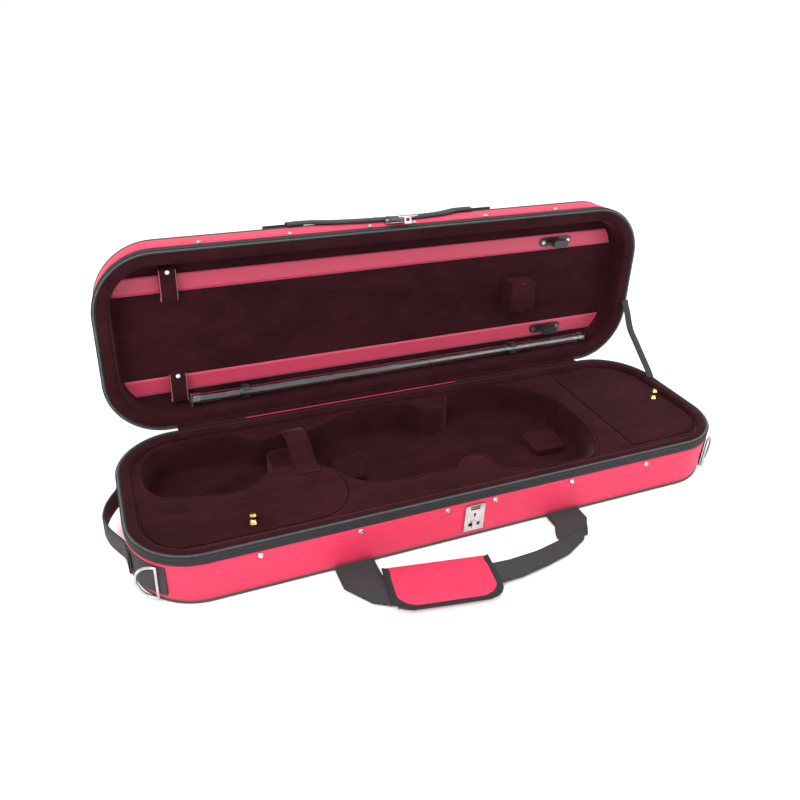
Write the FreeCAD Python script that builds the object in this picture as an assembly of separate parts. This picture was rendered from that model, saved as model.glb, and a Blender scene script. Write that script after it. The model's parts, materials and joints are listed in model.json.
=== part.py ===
"""Oblong violin case, open, as separate pieces.

Row frame: the origin is the centre of the base's underside. +X runs along the case towards the
lower-bout end, +Y towards the hinge and +Z up. The lid is drawn shut on the base and then swung
open about the hinge line, so every lid piece is described in the shut position. Millimetres.
"""
import FreeCAD
import Part
import math
import os

Vec = FreeCAD.Vector
os.makedirs("parts", exist_ok=True)

# ---------------------------------------------------------------- driving dimensions
case_length = 820.0
case_width = 254.0
corner_radius = 80.0
base_height = 69.0        # floor to the parting plane
lid_height = 51.0         # parting plane to the top of the shut lid
end_draft = 5.0           # the ends lean in this much by the underside, and by the lid's top
open_angle = 92.0
hinge_offset = 1.1        # the cloth hinge folds this far behind the back wall
hinge_drop = 3.0          # and this far below the parting plane

cover_cloth = 1.5
shell_wall = 8.0
piping_size = 4.0
band_height = 12.5        # zip band on each half
band_proud = 0.6
half_gap = 0.3            # each half stops this far from the parting plane

deck_level = 61.5         # top of the padded insert
base_lip_inset = 16.0
lid_lip_inset = 19.5
lid_depth = 36.0          # parting plane to the lid's inner face
bed_level = 12.0          # bottom of the violin well

half_width = case_width / 2
half_length = case_length / 2
parting = base_height
lid_top = parting + lid_height
hinge_y = half_width + hinge_offset
hinge_z = parting - hinge_drop
shell_inset = cover_cloth
cavity_inset = cover_cloth + shell_wall
zip_inset = 5.0           # inner edge of the zip tape on the rim
layer_gap = 0.05          # where a lining meets the zip tape


# ---------------------------------------------------------------- drawing helpers
def polygon(points, z):
    """A closed wire of straight edges through plan points."""
    corners = [Vec(x, y, z) for x, y in points]
    return Part.makePolygon(corners + corners[:1])


def prism(points, z0, z1):
    """Plan polygon raised from z0 to z1."""
    return Part.Face(polygon(points, z0)).extrude(Vec(0, 0, z1 - z0))


def box(x0, x1, y0, y1, z0, z1):
    return Part.makeBox(x1 - x0, y1 - y0, z1 - z0, Vec(x0, y0, z0))


def rounded_box(x0, x1, y0, y1, z0, z1, radius):
    """A box whose four upright edges are rounded."""
    solid = box(x0, x1, y0, y1, z0, z1)
    upright = [e for e in solid.Edges if abs(e.Vertexes[0].Z - e.Vertexes[1].Z) > 0.5 * (z1 - z0)]
    return solid.makeFillet(radius, upright)


def outline(inset, z):
    """The case's plan outline at height z, moved inwards by inset, as four lines and four arcs."""
    away = (parting - z) / base_height if z < parting else (z - parting) / lid_height
    hl, hw, r = half_length - inset - end_draft * away, half_width - inset, corner_radius - inset
    edges = []
    for quarter, (sx, sy) in enumerate(((1, 1), (-1, 1), (-1, -1), (1, -1))):
        centre = Vec(sx * (hl - r), sy * (hw - r), z)
        turn = [math.radians(90 * quarter + a) for a in (0, 45, 90)]
        arc = [centre + Vec(r * math.cos(t), r * math.sin(t), 0) for t in turn]
        if edges:
            edges.append(Part.makeLine(edges[-1].Vertexes[-1].Point, arc[0]))
        edges.append(Part.Arc(*arc).toShape())
    edges.append(Part.makeLine(edges[-1].Vertexes[-1].Point, edges[0].Vertexes[0].Point))
    return Part.Wire(edges)


def slab(inset, z0, z1):
    """The case's own outline moved inwards by inset, raised from z0 to z1."""
    return Part.makeLoft([outline(inset, z0), outline(inset, z1)], True, True)


def ring(outer_inset, inner_inset, z0, z1):
    return slab(outer_inset, z0, z1).cut(slab(inner_inset, z0 - 1, z1 + 1))


def blocks(solid, seams_x, seams_y, z0, z1):
    """Cuts a solid into the glued blocks it is built from, a glue line apart, between two heights."""
    cells = []
    edges_x = (-half_length - layer_gap, *seams_x, half_length + layer_gap)
    edges_y = (-half_width - layer_gap, *seams_y, half_width + layer_gap)
    for x0, x1 in zip(edges_x, edges_x[1:]):
        for y0, y1 in zip(edges_y, edges_y[1:]):
            cell = box(x0 + glue_line, x1 - glue_line, y0 + glue_line, y1 - glue_line, z0, z1)
            cells.extend(solid.common(cell).Solids)
    return cells


def rod(x, y, z, radius, length, direction):
    return Part.makeCylinder(radius, length, Vec(x, y, z), Vec(*direction))


def opened(shape):
    """Swings a lid piece from its shut place to its place at rest."""
    turned = shape.copy()
    turned.rotate(Vec(0, hinge_y, hinge_z), Vec(1, 0, 0), -open_angle)
    return turned


def save(name, *solids):
    shape = solids[0] if len(solids) == 1 else Part.makeCompound(list(solids))
    for solid in shape.Solids:
        if not solid.isValid() or solid.Volume <= 0:
            print("check the solid in", name)
    shape.exportStep(os.path.join("parts", name + ".step"))


def save_lid(name, *solids):
    save(name, *[opened(s) for s in solids])


# ---------------------------------------------------------------- the violin well's outline
# Scroll end at the left, lower bout at the right, with a block in each waist.
violin_well = [
    (-386, 49), (-367, -2), (-341, -8), (-300, -18), (-270, -22), (-250, -16), (-232, 3), (-217, 11),
    (-185, 12), (-154, -2), (-135, -36), (-109, -58), (-68, -65), (-37, -61), (2, -66), (11, -62),
    (15, -53), (23, -46), (38, -44), (52, -47), (59, -56), (62, -88), (110, -96), (164, -101),
    (193, -97), (206, -84), (220, -58), (229, -25), (230, 13), (225, 46), (212, 70), (192, 94),
    (160, 109), (115, 111), (72, 109), (68, 88), (57, 78), (42, 76), (28, 78), (17, 87),
    (12, 106), (-20, 108), (-62, 111), (-100, 104), (-128, 87), (-150, 80), (-185, 81), (-226, 78),
    (-242, 96), (-261, 106), (-303, 106), (-347, 100), (-361, 98),
]

# The foam insert is glued up from blocks: seams across it and one along its middle.
glue_line = 0.02
insert_seams_x = (-360, -312, -264, -212, -146, -100, -48, 10, 62, 112, 164, 206, 256, 300, 356)
insert_seams_y = (-39, 0, 60)
# The rim's tape is sewn on in lengths, one to each side and one round each corner.
rim_seams_x = (-332, 332)
rim_seams_y = (-49, 49)
rim_gap = 0.2             # between the rim's tape and the shell under it

# ---------------------------------------------------------------- accessory pockets
left_hinge_y = -39.0
left_pocket = dict(x0=-388.0, x1=-142.0, y0=-101.0, y1=left_hinge_y)
right_hinge_x = 260.0
pocket_ledge = 8.0        # the pocket lid rests on this much of the insert
lid_board = 3.0
board_gap = 0.6


def left_board_outline(inset):
    """Straight hinge edge at the back, ends rounded as quarter ellipses towards the front."""
    x0, x1 = left_pocket["x0"] + inset, left_pocket["x1"] - inset
    y0, y1 = left_pocket["y0"] + inset, left_pocket["y1"] - inset
    reach = 46.0 - inset
    points = [(x1, y1)]
    for k in range(7):
        a = math.radians(15 * k)
        points.append((x1 - reach * (1 - math.cos(a)), y0 + (y1 - 8 - y0) * (1 - math.sin(a))))
    for k in range(7):
        a = math.radians(90 - 15 * k)
        points.append((x0 + reach * (1 - math.cos(a)), y0 + (y1 - 8 - y0) * (1 - math.sin(a))))
    points.append((x0, y1))
    return points


def right_board_outline(inset):
    """Straight hinge edge across the case, outer corners following the case's own corners."""
    x0, x1 = right_hinge_x + inset, half_length - 18.0 - inset
    y0, y1 = -97.0 + inset, 105.0 - inset
    front_r, back_r = 44.0 - inset, 62.0 - inset
    points = [(x0, y1), (x0, y0)]
    for k in range(7):
        a = math.radians(-90 + 15 * k)
        points.append((x1 - front_r + front_r * math.cos(a), y0 + front_r + front_r * math.sin(a)))
    for k in range(7):
        a = math.radians(15 * k)
        points.append((x1 - back_r + back_r * math.cos(a), y1 - back_r + back_r * math.sin(a)))
    return points


# ================================================================= base
def make_base():
    low = piping_size
    piping = ring(-0.8, 3.0, 0, low)
    save("base_piping", piping)

    staple_pocket = box(-7, 7, -half_width - 3, -half_width + 7, 42, 50)
    save("base_cover", ring(0, cover_cloth, low, parting - band_height - half_gap).cut(staple_pocket))
    save("base_underside", slab(3.0, 0, 2.0))

    shell = slab(3.0, 2.0, low).fuse(slab(shell_inset, low, parting - 3))
    shell = shell.cut(slab(cavity_inset, 6.0, parting)).cut(staple_pocket).removeSplitter()
    save("base_shell", shell)

    band_low, band_top = parting - band_height - half_gap, parting - half_gap
    inner = shell_inset - rim_gap
    band = ring(-band_proud, inner, band_low, band_top)
    band = band.fuse(ring(inner, zip_inset, parting - 3 + rim_gap, band_top)).removeSplitter()
    save("base_zip_band", *blocks(band, rim_seams_x, rim_seams_y, band_low, band_top))

    lip = ring(cavity_inset, base_lip_inset, deck_level, parting - 0.9)
    rim = ring(zip_inset + layer_gap, cavity_inset, parting - 3 + layer_gap, parting - 0.9)
    lip = lip.fuse(rim).removeSplitter()
    save("base_lip", lip)


def make_insert():
    well = prism(violin_well, bed_level - 2, deck_level + 1)
    left_box = prism(left_board_outline(pocket_ledge), bed_level, deck_level + 1)
    left_seat = prism(left_board_outline(-board_gap), deck_level - lid_board - 0.3, deck_level + 1)
    right_box = prism(right_board_outline(pocket_ledge), bed_level, deck_level + 1)
    right_seat = prism(right_board_outline(-board_gap), deck_level - lid_board - 0.3, deck_level + 1)
    deck = slab(cavity_inset, 6.0, deck_level)
    for hollow in (well, left_box, left_seat, right_box, right_seat):
        deck = deck.cut(hollow)
    floor = deck.common(box(-half_length, half_length, -half_width, half_width, 0, bed_level - glue_line))
    walls = blocks(deck, insert_seams_x, insert_seams_y, bed_level + glue_line, deck_level)
    save("padded_insert", floor, *walls)

    bed = prism(violin_well, bed_level - 2, bed_level)
    save("well_bed", bed)

    neck_pad = rounded_box(-128, -88, 6, 56, bed_level, bed_level + 12, 8)
    tail_pad = rounded_box(160, 212, -22, 26, bed_level, bed_level + 12, 8)
    save("suspension_pads", neck_pad, tail_pad)

    neck_rest = rounded_box(-214, -176, 16, 76, bed_level, 44, 6)
    save("neck_rest", neck_rest)


# ================================================================= neck strap
strap_x0, strap_x1 = -192.0, -166.0
strap_far_y = 88.0
strap_near_y = 7.0


def strap_arch(offset, y_near, y_far, rise):
    """One side of the arched strap: a circular arc from the near end to the far end."""
    z = deck_level + 0.6 + offset
    middle = Vec(strap_x0, (y_near + y_far) / 2, z + rise)
    return Part.Arc(Vec(strap_x0, y_near, z), middle, Vec(strap_x0, y_far, z)).toShape()


def make_neck_strap():
    """Velvet band over the neck with a grip tab at its loose end."""
    thick = 3.0
    lower = strap_arch(0, strap_near_y, strap_far_y, 15)
    upper = strap_arch(thick, strap_near_y, strap_far_y, 15)
    near = Part.makeLine(lower.Vertexes[0].Point, upper.Vertexes[0].Point)
    far = Part.makeLine(upper.Vertexes[-1].Point, lower.Vertexes[-1].Point)
    section = Part.Face(Part.Wire(Part.__sortEdges__([lower, upper, near, far])))
    tab = rounded_box(strap_x0 - 3, strap_x1 + 3, strap_near_y - 22, strap_near_y + 2,
                      deck_level + 0.4, deck_level + 2.8, 4)
    save("neck_strap", section.extrude(Vec(strap_x1 - strap_x0, 0, 0)).fuse(tab).removeSplitter())


# ================================================================= pocket lids
knob_foot_radius = 5.0
knob_height = 15.0


def knob(x, y):
    """Turned brass knob: foot, waist and domed head."""
    z = deck_level
    r = knob_foot_radius
    profile = [(0, 0), (r, 0), (r, 1.6), (3.6, 4.2), (1.8, 6.0), (1.8, 8.2), (4.2, 9.8), (4.2, 12.4),
               (2.6, knob_height), (0, knob_height)]
    wire = Part.makePolygon([Vec(x + a, y, z + b) for a, b in profile + profile[:1]])
    return Part.Face(wire).revolve(Vec(x, y, z), Vec(0, 0, 1), 360)


def make_pocket_lids():
    low = deck_level - lid_board
    save("pocket_lid_left", prism(left_board_outline(board_gap), low, deck_level))
    save("pocket_lid_right", prism(right_board_outline(board_gap), low, deck_level))
    save("pocket_knob_left", knob(-268, -85))
    save("pocket_knob_right", knob(372, -4))


# ================================================================= lock on the base
lock_half = 13.8
lock_low, lock_high = 11.0, 50.5


def make_lock():
    y = -half_width
    plate = rounded_box(-lock_half, lock_half, y - 1.6, y, lock_low, lock_high, 0.5)
    slot = box(-6.5, 6.5, y - 3, y + 1, 43, 49)
    keyhole = rod(0, y - 3, 36, 1.8, 5, (0, 1, 0)).fuse(box(-0.9, 0.9, y - 3, y + 1, 31.5, 36))
    button_slot = box(-8, 8, y - 3, y + 1, 18, 23)
    save("lock_plate", plate.cut(slot).cut(keyhole).cut(button_slot))
    button = box(-4, 2, y - 4.2, y - 1.8, 15.5, 25.5).fuse(box(-3, 1, y - 1.8, y - 0.2, 18.5, 22.5))
    save("lock_button", button)


# ================================================================= rivets
rivet_radius = 3.6
rivet_x = (33.0, 146.0, 265.0)
fittings_x = -5.0         # the rivets are centred a little towards the scroll end


def rivet(x, z):
    """A domed head on the front wall."""
    y = -half_width - band_proud
    head = Part.makeCone(rivet_radius, rivet_radius - 1.2, 1.6, Vec(x, y, z), Vec(0, -1, 0))
    eye = Part.makeCone(0.8, 1.5, 0.8, Vec(x, y - 0.9, z), Vec(0, -1, 0))
    stem = rod(x, y, z, 1.5, band_proud, (0, 1, 0))
    return head.cut(eye).fuse(stem)


# ================================================================= rings for the shoulder strap
ring_angle = 40.0         # how far round from the end face towards the front the ring hangs
ring_z = 30.0
ring_wire = 1.7
ring_half = 21.5          # half its height
ring_reach = 25.0
bar_x, bar_y = 13.0, -3.2
ring_lie = 20.0           # degrees the hoop stands off the tangent of the corner


def at_corner(shape, side):
    """Moves a piece drawn at the origin, facing -Y, to the front corner on that side."""
    piece = shape.copy()
    a = math.radians(90 - ring_angle)
    piece.rotate(Vec(0, 0, 0), Vec(0, 0, 1), side * math.degrees(a))
    lean = end_draft * (parting - ring_z) / base_height
    centre = Vec(side * (half_length - lean - corner_radius), -half_width + corner_radius, ring_z)
    piece.translate(centre + Vec(side * corner_radius * math.sin(a), -corner_radius * math.cos(a), 0))
    return piece


def ring_tab(side):
    """Webbing tab lying on the corner, with the fold that holds the ring's bar."""
    round_corner = Part.makeCylinder(corner_radius + 2.4, 34, Vec(0, corner_radius, -17), Vec(0, 0, 1))
    sheet = round_corner.common(box(-20, 20, -8, 12, -17, 17))
    fold = rod(-side * bar_x, bar_y, -15.5, 3.6, 31, (0, 0, 1))
    bar_hole = rod(-side * bar_x, bar_y, -20, ring_wire + 0.5, 40, (0, 0, 1))
    tab = at_corner(sheet.fuse(fold).cut(bar_hole), side).cut(slab(-0.2, 0, parting))
    return sorted(tab.Solids, key=lambda s: s.Volume)[-1]


def d_ring(side):
    """A D of round wire: straight bar in the tab's fold, half hoop lying round the corner."""
    x = -side * bar_x
    bar = rod(x, bar_y, -ring_half, ring_wire, 2 * ring_half, (0, 0, 1))
    along, out = side * math.cos(math.radians(ring_lie)), -math.sin(math.radians(ring_lie))
    start, end = Vec(x, bar_y, -ring_half), Vec(x, bar_y, ring_half)
    far = Vec(x + along * ring_reach, bar_y + out * ring_reach, 0)
    hoop = Part.Wire(Part.Arc(start, far, end).toShape())
    tangent = hoop.Edges[0].tangentAt(hoop.Edges[0].FirstParameter)
    section = Part.Wire(Part.makeCircle(ring_wire, start, tangent))
    bow = hoop.makePipeShell([section], True, False)
    knees = [Part.makeSphere(ring_wire, p) for p in (start, end)]
    return at_corner(bar.fuse(bow).fuse(knees[0]).fuse(knees[1]).removeSplitter(), side)


def make_ring_tabs():
    save("d_ring_tabs", ring_tab(-1), ring_tab(1))
    save("d_ring_left", d_ring(-1))
    save("d_ring_right", d_ring(1))


# ================================================================= end handle
def make_end_handle():
    """Bowed strap on the scroll end, sewn down at both ends."""
    wall = -half_length + end_draft
    out = -half_length - 20.0
    thick = 3.6
    outer = Part.BSplineCurve()
    outer.interpolate([Vec(wall, -76, 20), Vec(wall - 8, -68, 20), Vec(out + 8, -44, 20), Vec(out, -12, 20),
                       Vec(out, 14, 20), Vec(out + 7, 44, 20), Vec(wall - 8, 64, 20), Vec(wall, 72, 20)])
    inner = Part.BSplineCurve()
    inner.interpolate([Vec(wall, -62, 20), Vec(out + 12, -40, 20), Vec(out + thick, -11, 20),
                       Vec(out + thick, 13, 20), Vec(out + 11, 40, 20), Vec(wall, 58, 20)])
    feet = [Part.makeLine(Vec(wall, -76, 20), Vec(wall, -62, 20)),
            Part.makeLine(Vec(wall, 72, 20), Vec(wall, 58, 20))]
    edges = Part.__sortEdges__([outer.toShape(), inner.toShape()] + feet)
    loop = Part.Face(Part.Wire(edges)).extrude(Vec(0, 0, 28))
    save("end_handle", loop.cut(slab(-0.2, 0, parting)))


# ================================================================= carry handle on the base
web_half = 25.0
carry_axis_y = -half_width - 20.5
carry_axis_z = 2.6
grip_centre = Vec(-73.0, -194.0, 0)
grip_turn = -9.0
left_x, right_x = -158.0, 134.0


def turned_with_grip(shape):
    piece = shape.copy()
    piece.rotate(Vec(0, 0, 0), Vec(0, 0, 1), grip_turn)
    piece.translate(grip_centre)
    return piece


def make_carry_handle():
    """Webbing from two anchors at the foot of the front wall, and a padded grip wrapped round it."""
    y = carry_axis_y
    save("carry_anchors", *[box(x - web_half, x + web_half, y + 1.6, -half_width - 1.2, 1.2, 4.0)
                            for x in (left_x, right_x)])
    y -= 2.2
    left_leg = prism([(left_x - web_half, y), (left_x + web_half, y), (left_x + web_half - 2, y - 22),
                      (left_x + web_half - 8, y - 46), (left_x + 4, y - 46), (left_x - web_half, y - 14)],
                     1.2, 4.0)
    right_leg = prism([(right_x - web_half, y), (right_x + web_half, y), (right_x + 12, y - 16),
                       (right_x, y - 52), (right_x - 16, y - 56), (right_x - web_half - 4, y - 26)],
                      1.2, 4.0)
    band = turned_with_grip(box(-76, 76, -17, 17, 3.7, 6.5))
    left_link = prism([(-134, -168), (-128, -204), (-148, -194), (-152, -172)], 1.2, 6.5)
    right_link = prism([(-4, -190), (110, -175), (126, -202), (0, -217)], 1.2, 6.5)
    under_grip = turned_with_grip(box(-71, 71, -60, 60, -1, 3.7))
    strap = left_leg.fuse([right_leg, left_link, right_link]).cut(under_grip).fuse(band)
    save("carry_strap", strap.removeSplitter())

    under = turned_with_grip(rounded_box(-67, 67, -30, 34, 0.6, 3.4, 8))
    fold = turned_with_grip(box(-62, 62, 24, 34, 3.4, 6.5))
    save("carry_grip", under.fuse(fold).removeSplitter())
    flap = turned_with_grip(rounded_box(-69, 69, -35, 33, 6.8, 13.4, 14))
    save("grip_flap", flap)


# ================================================================= hinge
hinge_half = 318.0


def make_hinge():
    """Cloth hinge: a cord sewn in the fold line, a band on the base and one on the lid."""
    save("hinge_cord", rod(-hinge_half, hinge_y, hinge_z, 0.4, 2 * hinge_half, (1, 0, 0)))
    y0, y1 = half_width + band_proud + 0.1, half_width + band_proud + 0.9
    save("hinge_band_base", box(-hinge_half, hinge_half, y0, y1, 36, hinge_z - 1.2))
    save_lid("hinge_band_lid", box(-hinge_half, hinge_half, y0, y1, hinge_z + 3.6, parting + 30))


# ================================================================= zip sliders
slider_x = hinge_half + 8.0
pull_y = half_width + band_proud + 5.2
pull_z = parting - 10.2


def make_zip_sliders():
    """A slider parked at each end of the zip, with a pull hanging from its bail."""
    y = half_width + band_proud + 0.2
    z = parting - 8.0
    bodies = []
    for name, side in (("left", -1), ("right", 1)):
        x = side * slider_x
        body = box(x - 5, x + 5, y, y + 3.0, z - 4, z + 4)
        body = body.makeFillet(1.2, body.Edges)
        bail = rod(x - 3.4, pull_y, pull_z, 0.9, 6.8, (1, 0, 0))
        ears = [box(x + d - 0.6, x + d + 0.6, y + 2.2, pull_y + 0.6, pull_z - 0.9, pull_z + 0.9)
                for d in (-3.0, 3.0)]
        bodies.append(body.fuse([bail] + ears).removeSplitter())
        plate = rounded_box(x - 2.2, x + 2.2, pull_y - 0.8, pull_y + 0.8, pull_z - 25, pull_z, 0.5)
        eye = rod(x - 2.2, pull_y, pull_z, 1.7, 4.4, (1, 0, 0))
        save("zip_pull_" + name, plate.fuse(eye).cut(rod(x - 4, pull_y, pull_z, 0.96, 8, (1, 0, 0))))
    save("zip_sliders", *bodies)


# ================================================================= lid
def make_lid():
    p, top = parting, lid_top
    band = ring(-band_proud, shell_inset, p + half_gap, p + band_height)
    band = band.fuse(ring(shell_inset, zip_inset, p + half_gap, p + 3)).removeSplitter()
    save_lid("lid_zip_band", band)
    save_lid("lid_cover", ring(0, cover_cloth, p + band_height, top - piping_size),
             slab(3.0, top - 2.0, top - 0.5))
    save_lid("lid_piping", ring(-0.8, 3.0, top - piping_size, top))
    shell = slab(shell_inset, p + 3, top - piping_size).fuse(slab(3.0, top - piping_size, top - 2.0))
    shell = shell.cut(slab(cavity_inset, p, top - 10)).removeSplitter()
    save_lid("lid_shell", shell)
    lining = slab(cavity_inset, p + 3, top - 10).fuse(slab(zip_inset + layer_gap, p + 0.9, p + 3 - layer_gap))
    lining = lining.cut(slab(lid_lip_inset, p, p + lid_depth)).removeSplitter()
    save_lid("lid_lining", lining)


ceiling = parting + lid_depth
ribbon_y = (-71.0, 75.0)
ribbon_half = 12.5
ribbon_thick = 0.8


def make_ribbons():
    z0 = ceiling - ribbon_thick
    between_walls = slab(lid_lip_inset + 0.3, z0 - 1, ceiling)
    strips = [box(-half_length, half_length, y - ribbon_half, y + ribbon_half, z0, ceiling) for y in ribbon_y]
    save_lid("lid_ribbons", *[strip.common(between_walls) for strip in strips])


holder_x = -312.0
holder_half = 10.8
holder_y = (-70.0, 78.0)
loop_depth = 15.0         # how far the flap hangs from the ribbon


def make_tip_holders():
    """Each bow tip goes under a cloth flap that snaps to a post."""
    pads = []
    x0, x1 = holder_x - holder_half, holder_x + holder_half
    z = ceiling - ribbon_thick
    for name, y in zip(("upper", "lower"), holder_y):
        pad = rounded_box(x0, x1, y - 24, y + 14, z - 2.4, z, 2)
        post = box(holder_x - 7, holder_x + 7, y - 24, y - 17, z - loop_depth + 3.2, z - 2.4)
        pads.append(pad.fuse(post).removeSplitter())
        sheet = rounded_box(x0, x1, y - 24, y + 20, z - loop_depth, z - loop_depth + 2.6, 2)
        leg = box(x0, x1, y + 17.4, y + 20, z - loop_depth + 1, z - 2.8)
        stud = rod(holder_x, y - 20.0, z - loop_depth - 1.2, 2.8, 1.2, (0, 0, 1))
        save_lid("tip_flap_" + name, sheet.fuse(leg).removeSplitter(), stud)
    save_lid("tip_pads", *pads)


spinner_x = 279.0
spinner_y = (-71.5, 74.5)


def make_spinners():
    """A turn-clip for each frog: plate with two screws, and a bar that turns on a post."""
    plates, screws = [], []
    for name, y in zip(("upper", "lower"), spinner_y):
        z = ceiling - ribbon_thick
        plate = rounded_box(spinner_x - 28, spinner_x + 28, y - 7, y + 7, z - 2.6, z, 6.5)
        plate = plate.fuse(rod(spinner_x, y, z - 10, 5.5, 8, (0, 0, 1)))
        plates.append(plate.cut(rod(spinner_x, y, z - 11, 2.55, 8, (0, 0, 1))).removeSplitter())
        for side in (-22, 22):
            screws.append(rod(spinner_x + side, y, z - 3.8, 3.2, 1.2, (0, 0, 1)))
        stem = rod(spinner_x, y, z - 12, 2.5, 7.5, (0, 0, 1))
        bar = rounded_box(spinner_x - 13, spinner_x + 13, y - 5.5, y + 5.5, z - 19, z - 10.4, 5)
        save_lid("spinner_knob_" + name, bar.fuse(stem).removeSplitter())
    save_lid("spinner_plates", *plates)
    save_lid("spinner_screws", *screws)


def make_frog_block():
    block = rounded_box(192, 234, -19, 27, parting + 5, ceiling, 2)
    save_lid("frog_block", block)


tube_y = 95.5
tube_z = parting + 18.0
tube_radius = 7.5
tube_x0, tube_x1 = -296.0, 342.0
clip_x = (-222.0, 210.0)
cap_length = 13.0
cap_end = 2.7             # thickness of a cap's closed end


def make_string_tube():
    """Clear tube for spare strings, a push-on cap at each end and two spring clips."""
    length = tube_x1 - tube_x0
    bore = rod(tube_x0 - 1, tube_y, tube_z, tube_radius - 0.8, length + 2, (1, 0, 0))
    save_lid("string_tube", rod(tube_x0, tube_y, tube_z, tube_radius, length, (1, 0, 0)).cut(bore))
    for name, end, side in (("left", tube_x0, -1), ("right", tube_x1, 1)):
        mouth = end - side * (cap_length - cap_end - 0.3)
        cup = rod(mouth, tube_y, tube_z, tube_radius + 1.3, cap_length, (side, 0, 0))
        bore = rod(mouth - side, tube_y, tube_z, tube_radius + 0.05, cap_length - cap_end + 1, (side, 0, 0))
        save_lid("tube_cap_" + name, cup.cut(bore))
    clips = []
    for x in clip_x:
        hoop = rod(x - 5, tube_y, tube_z, tube_radius + 2.4, 10, (1, 0, 0))
        hoop = hoop.cut(rod(x - 6, tube_y, tube_z, tube_radius + 0.25, 12, (1, 0, 0)))
        gap = box(x - 6, x + 6, tube_y - 5, tube_y + 5, tube_z - 14, tube_z)
        post = box(x - 4, x + 4, tube_y - 4, tube_y + 4, tube_z + tube_radius + 1.2, ceiling)
        clips.append(hoop.cut(gap).fuse(post).removeSplitter())
    save_lid("tube_clips", *clips)


# ================================================================= hasp on the lid
hasp_pivot_y = -half_width - 4.4
hasp_pivot_z = parting + 20.5
hasp_rest = 22.0          # how far the free leaf stands off the wall at rest


def make_hasp():
    y = -half_width
    plate = box(-lock_half, lock_half, y - 1.4, y, hasp_pivot_z - 3, hasp_pivot_z + 8)
    knuckles = []
    for x in (-lock_half, 7.0):
        barrel = rod(x, hasp_pivot_y, hasp_pivot_z, 2.2, lock_half - 7.0, (1, 0, 0))
        web = box(x, x + lock_half - 7.0, hasp_pivot_y, y, hasp_pivot_z - 1.2, hasp_pivot_z + 1.2)
        knuckles.append(barrel.fuse(web))
    pin = rod(-7.0, hasp_pivot_y, hasp_pivot_z, 1.0, 14.0, (1, 0, 0))
    fixed = plate.fuse(knuckles[0]).fuse(knuckles[1]).fuse(pin).removeSplitter()
    save_lid("hasp_plate", fixed)

    leaf_y = hasp_pivot_y - 0.6
    leaf = rounded_box(-lock_half, lock_half, leaf_y, leaf_y + 1.2, 42.5, hasp_pivot_z - 4, 0.3)
    barrel = rod(-6.8, hasp_pivot_y, hasp_pivot_z, 2.2, 13.6, (1, 0, 0))
    web = box(-6.8, 6.8, leaf_y, leaf_y + 1.2, hasp_pivot_z - 5, hasp_pivot_z - 1)
    leaf = leaf.fuse(barrel).fuse(web).cut(rod(-8, hasp_pivot_y, hasp_pivot_z, 1.06, 16, (1, 0, 0)))
    staple = box(-5, 5, leaf_y + 1, -half_width + 5, 44.4, 47.6)
    staple = staple.cut(box(-2.6, 2.6, -half_width - 2.2, -half_width + 2.2, 40, 52))
    leaf = leaf.fuse(staple).removeSplitter()
    leaf.rotate(Vec(0, hasp_pivot_y, hasp_pivot_z), Vec(1, 0, 0), -hasp_rest)
    save_lid("hasp_leaf", leaf)


# ================================================================= handle on the lid
handle_gap = 1.8          # between the handle and the lid's front wall
handle_thick = 3.1
handle_half = 7.0
lid_handle_y = -half_width - 4.5
lid_handle_z = lid_top + 7.6
handle_path = [(-146, 1), (-114, 1), (-84, -6), (-40, -12), (0, -14), (45, -14), (80, -10), (106, -2),
               (112, 1), (136, 1)]
anchor_patches = ((-178, -120), (108, 172))


def make_lid_handle():
    """Flat webbing handle lying along the front wall, sagging towards the parting plane."""
    y = -half_width - handle_gap
    path = [Vec(x, y, lid_top + dz) for x, dz in handle_path]
    edge = [p + Vec(0, 0, handle_half) for p in path] + [p - Vec(0, 0, handle_half) for p in reversed(path)]
    band = Part.Face(Part.makePolygon(edge + edge[:1])).extrude(Vec(0, -handle_thick, 0))
    save_lid("lid_handle", band)
    patches = []
    for x0, x1 in anchor_patches:
        sheet = box(x0, x1, -half_width - 1.4, -98, lid_top + 6.2, lid_top + 9)
        patches.append(sheet.fuse(box(x0, x1, -108, -98, lid_top + 4, lid_top + 6.2)).removeSplitter())
    save_lid("lid_strap_anchors", *patches)


# ================================================================= music pocket on the lid
def make_music_pocket():
    """Flat zipped pocket over the lid's outer face, with two sliders that meet near the middle."""
    top = lid_top
    save_lid("music_pocket", rounded_box(-340, 340, -112, 104, top, top + 4, 60))
    save_lid("music_zip", box(-300, 300, -122, -112.6, top + 0.1, top + 2.0))
    for name, x in (("left", -15.0), ("right", 4.0)):
        body = box(x - 6, x + 6, -122, -114, top + 2.3, top + 5.6)
        body = body.makeFillet(1.0, body.Edges)
        pull = rounded_box(x - 2.6, x + 2.6, -128.3, -117, top + 3.2, top + 4.8, 0.5)
        save_lid("music_slider_" + name, body.fuse(pull).removeSplitter())


# ================================================================= lid stay
stay_x = 397.0
stay_width = 12.0


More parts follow.
